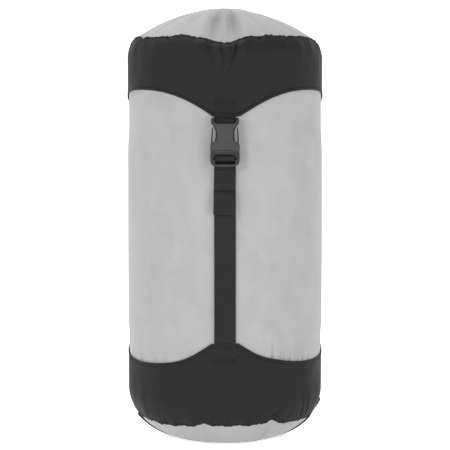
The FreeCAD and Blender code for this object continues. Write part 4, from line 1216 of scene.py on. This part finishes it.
def fray_lines(angle, aslant):
    """Loose threads at the hem's cut edge: half of them at its left corner, the rest along it."""
    rng = random.Random(int(angle) + 3)
    lines = []
    for k in range(18):
        at_corner = k < 9
        side = -10.2 + rng.uniform(-0.3, 0.5) if at_corner else rng.uniform(-9.5, 9.8)
        height = 247.6 - (rng.uniform(0.0, 5.5) if at_corner else 0.0)
        root = in_strap_space(angle, side + aslant * 0.45, 98.0 + rng.uniform(-0.4, 0.4), height)
        beside = rng.uniform(-0.9, 0.1) if at_corner else rng.uniform(-0.3, 0.3)
        tip = root + in_strap_space(angle, beside, rng.uniform(-0.1, 0.3), rng.uniform(0.2, 0.9))
        lines.append((np.stack([root, (root + tip) / 2 + [0, 0, 0.1], tip]), False))
    return lines


def make_tail(name, angle):
    """The strap's loose end below its plug, a little aslant, with its end turned up and stitched."""
    aslant, tail_length = -0.8 if name == "front" else 0.5, 42.5
    out, plug_exit, hem_top, end = 96.7, 268.2, 246.4, "tail_end_" + name
    heights = np.linspace(plug_exit, hem_top, 20)
    side = aslant * (plug_exit - heights) / tail_length
    tail = webbing("tail_webbing_" + name, angle, side, out, heights, None, "strap_tail_" + name, drawn=True)
    tuple(in_strap_space(angle, 0, 96.7, 268.2) * MM)
    tuple(in_strap_space(angle, 0, 96.7, 250.1) * MM)
    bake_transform(tail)
    turned = divided(rounded([(out, 246.45), (out, 226.3), (97.9, 226.3), (97.9, 247.4)], 0.59), 2.0)
    lifted = 1.9 * (1 - smooth_step(turned[:, 1], 226.0, 243.0))
    side = aslant * (plug_exit - turned[:, 1]) / tail_length
    webbing("tail_end_webbing_" + name, angle, side, turned[:, 0] + lifted, turned[:, 1], end,
            "tail_hem_" + name, WEB_FOLDED)
    row = in_strap_space(angle, np.linspace(-9.3, 9.3, 24) + aslant * 0.5, 98.58, 245.2)
    stitched("tail_stitches_" + name, [(row, False)], end, 1.5, 1.9, 0.15, seed=14)
    piece("tail_fray_" + name, tube_mesh(fray_lines(angle, aslant), 0.11, 5), "thread", end)


def make_straps():
    for name, angle in STRAPS.items():
        make_strap(name, angle)
        make_tail(name, angle)
        outermost = 100.7
        loop = rounded([(92.8, 322.0), (94.2, 316.5), (95.4, 313.5), (95.4, 309.6), (outermost, 309.6),
                        (outermost, 313.2), (95.0, 316.8), (94.1, 322.0)], 1.1)
        webbing("socket_loop_" + name, angle, 0.0, np.minimum(loop[:, 0], outermost), loop[:, 1], "lid",
                "lid_loop_" + name, WEB_FOLDED)
        make_socket(name, angle)
        make_plug(name, angle)
        for way in ("right", "left"):
            arm = "%s_%s" % (way, name)
            # The latch arms take painted shade as a whole.
            softened("arm_" + arm, "latch_" + arm, "arm_" + arm, 0.3, shade_amount=0.7)


def make_tacks():
    for name, height, node, body in (("lid_tacks", LID_TACK, "lid_bar_tacks", "lid"),
                                     ("base_tacks", BASE_TACK, "base_bar_tacks", "base")):
        lines = []
        for angle in STRAPS.values():
            for row in (-0.6, 0.6):
                phi = angle + np.degrees(np.linspace(-9.8, 9.8, 30) / COVER)
                lines.append((round_sack(COVER + 0.32, phi, height + row), False))
        stitched(name, lines, body, 1.5, 0.62, 0.2, upright=0.85, seed=17, stands_for=[node])


# ---- making the sack ----
make_camera()
make_floor()
make_room()
make_sack_wall()
make_base_cloth()
make_base_cover()
make_seam_roll("base_seam_roll", BASE_SEAM_LINE, BASE_SEAM_RADIUS, "base", "base_seam", 61, 0.2)
make_lid_cloth()
make_lid_cover()
make_seam_roll("lid_seam_roll", LID_SEAM_LINE, LID_SEAM_RADIUS, "lid", "lid_seam", 63, -0.2)
make_neck()
make_cord()
make_handle()
make_straps()
make_tacks()
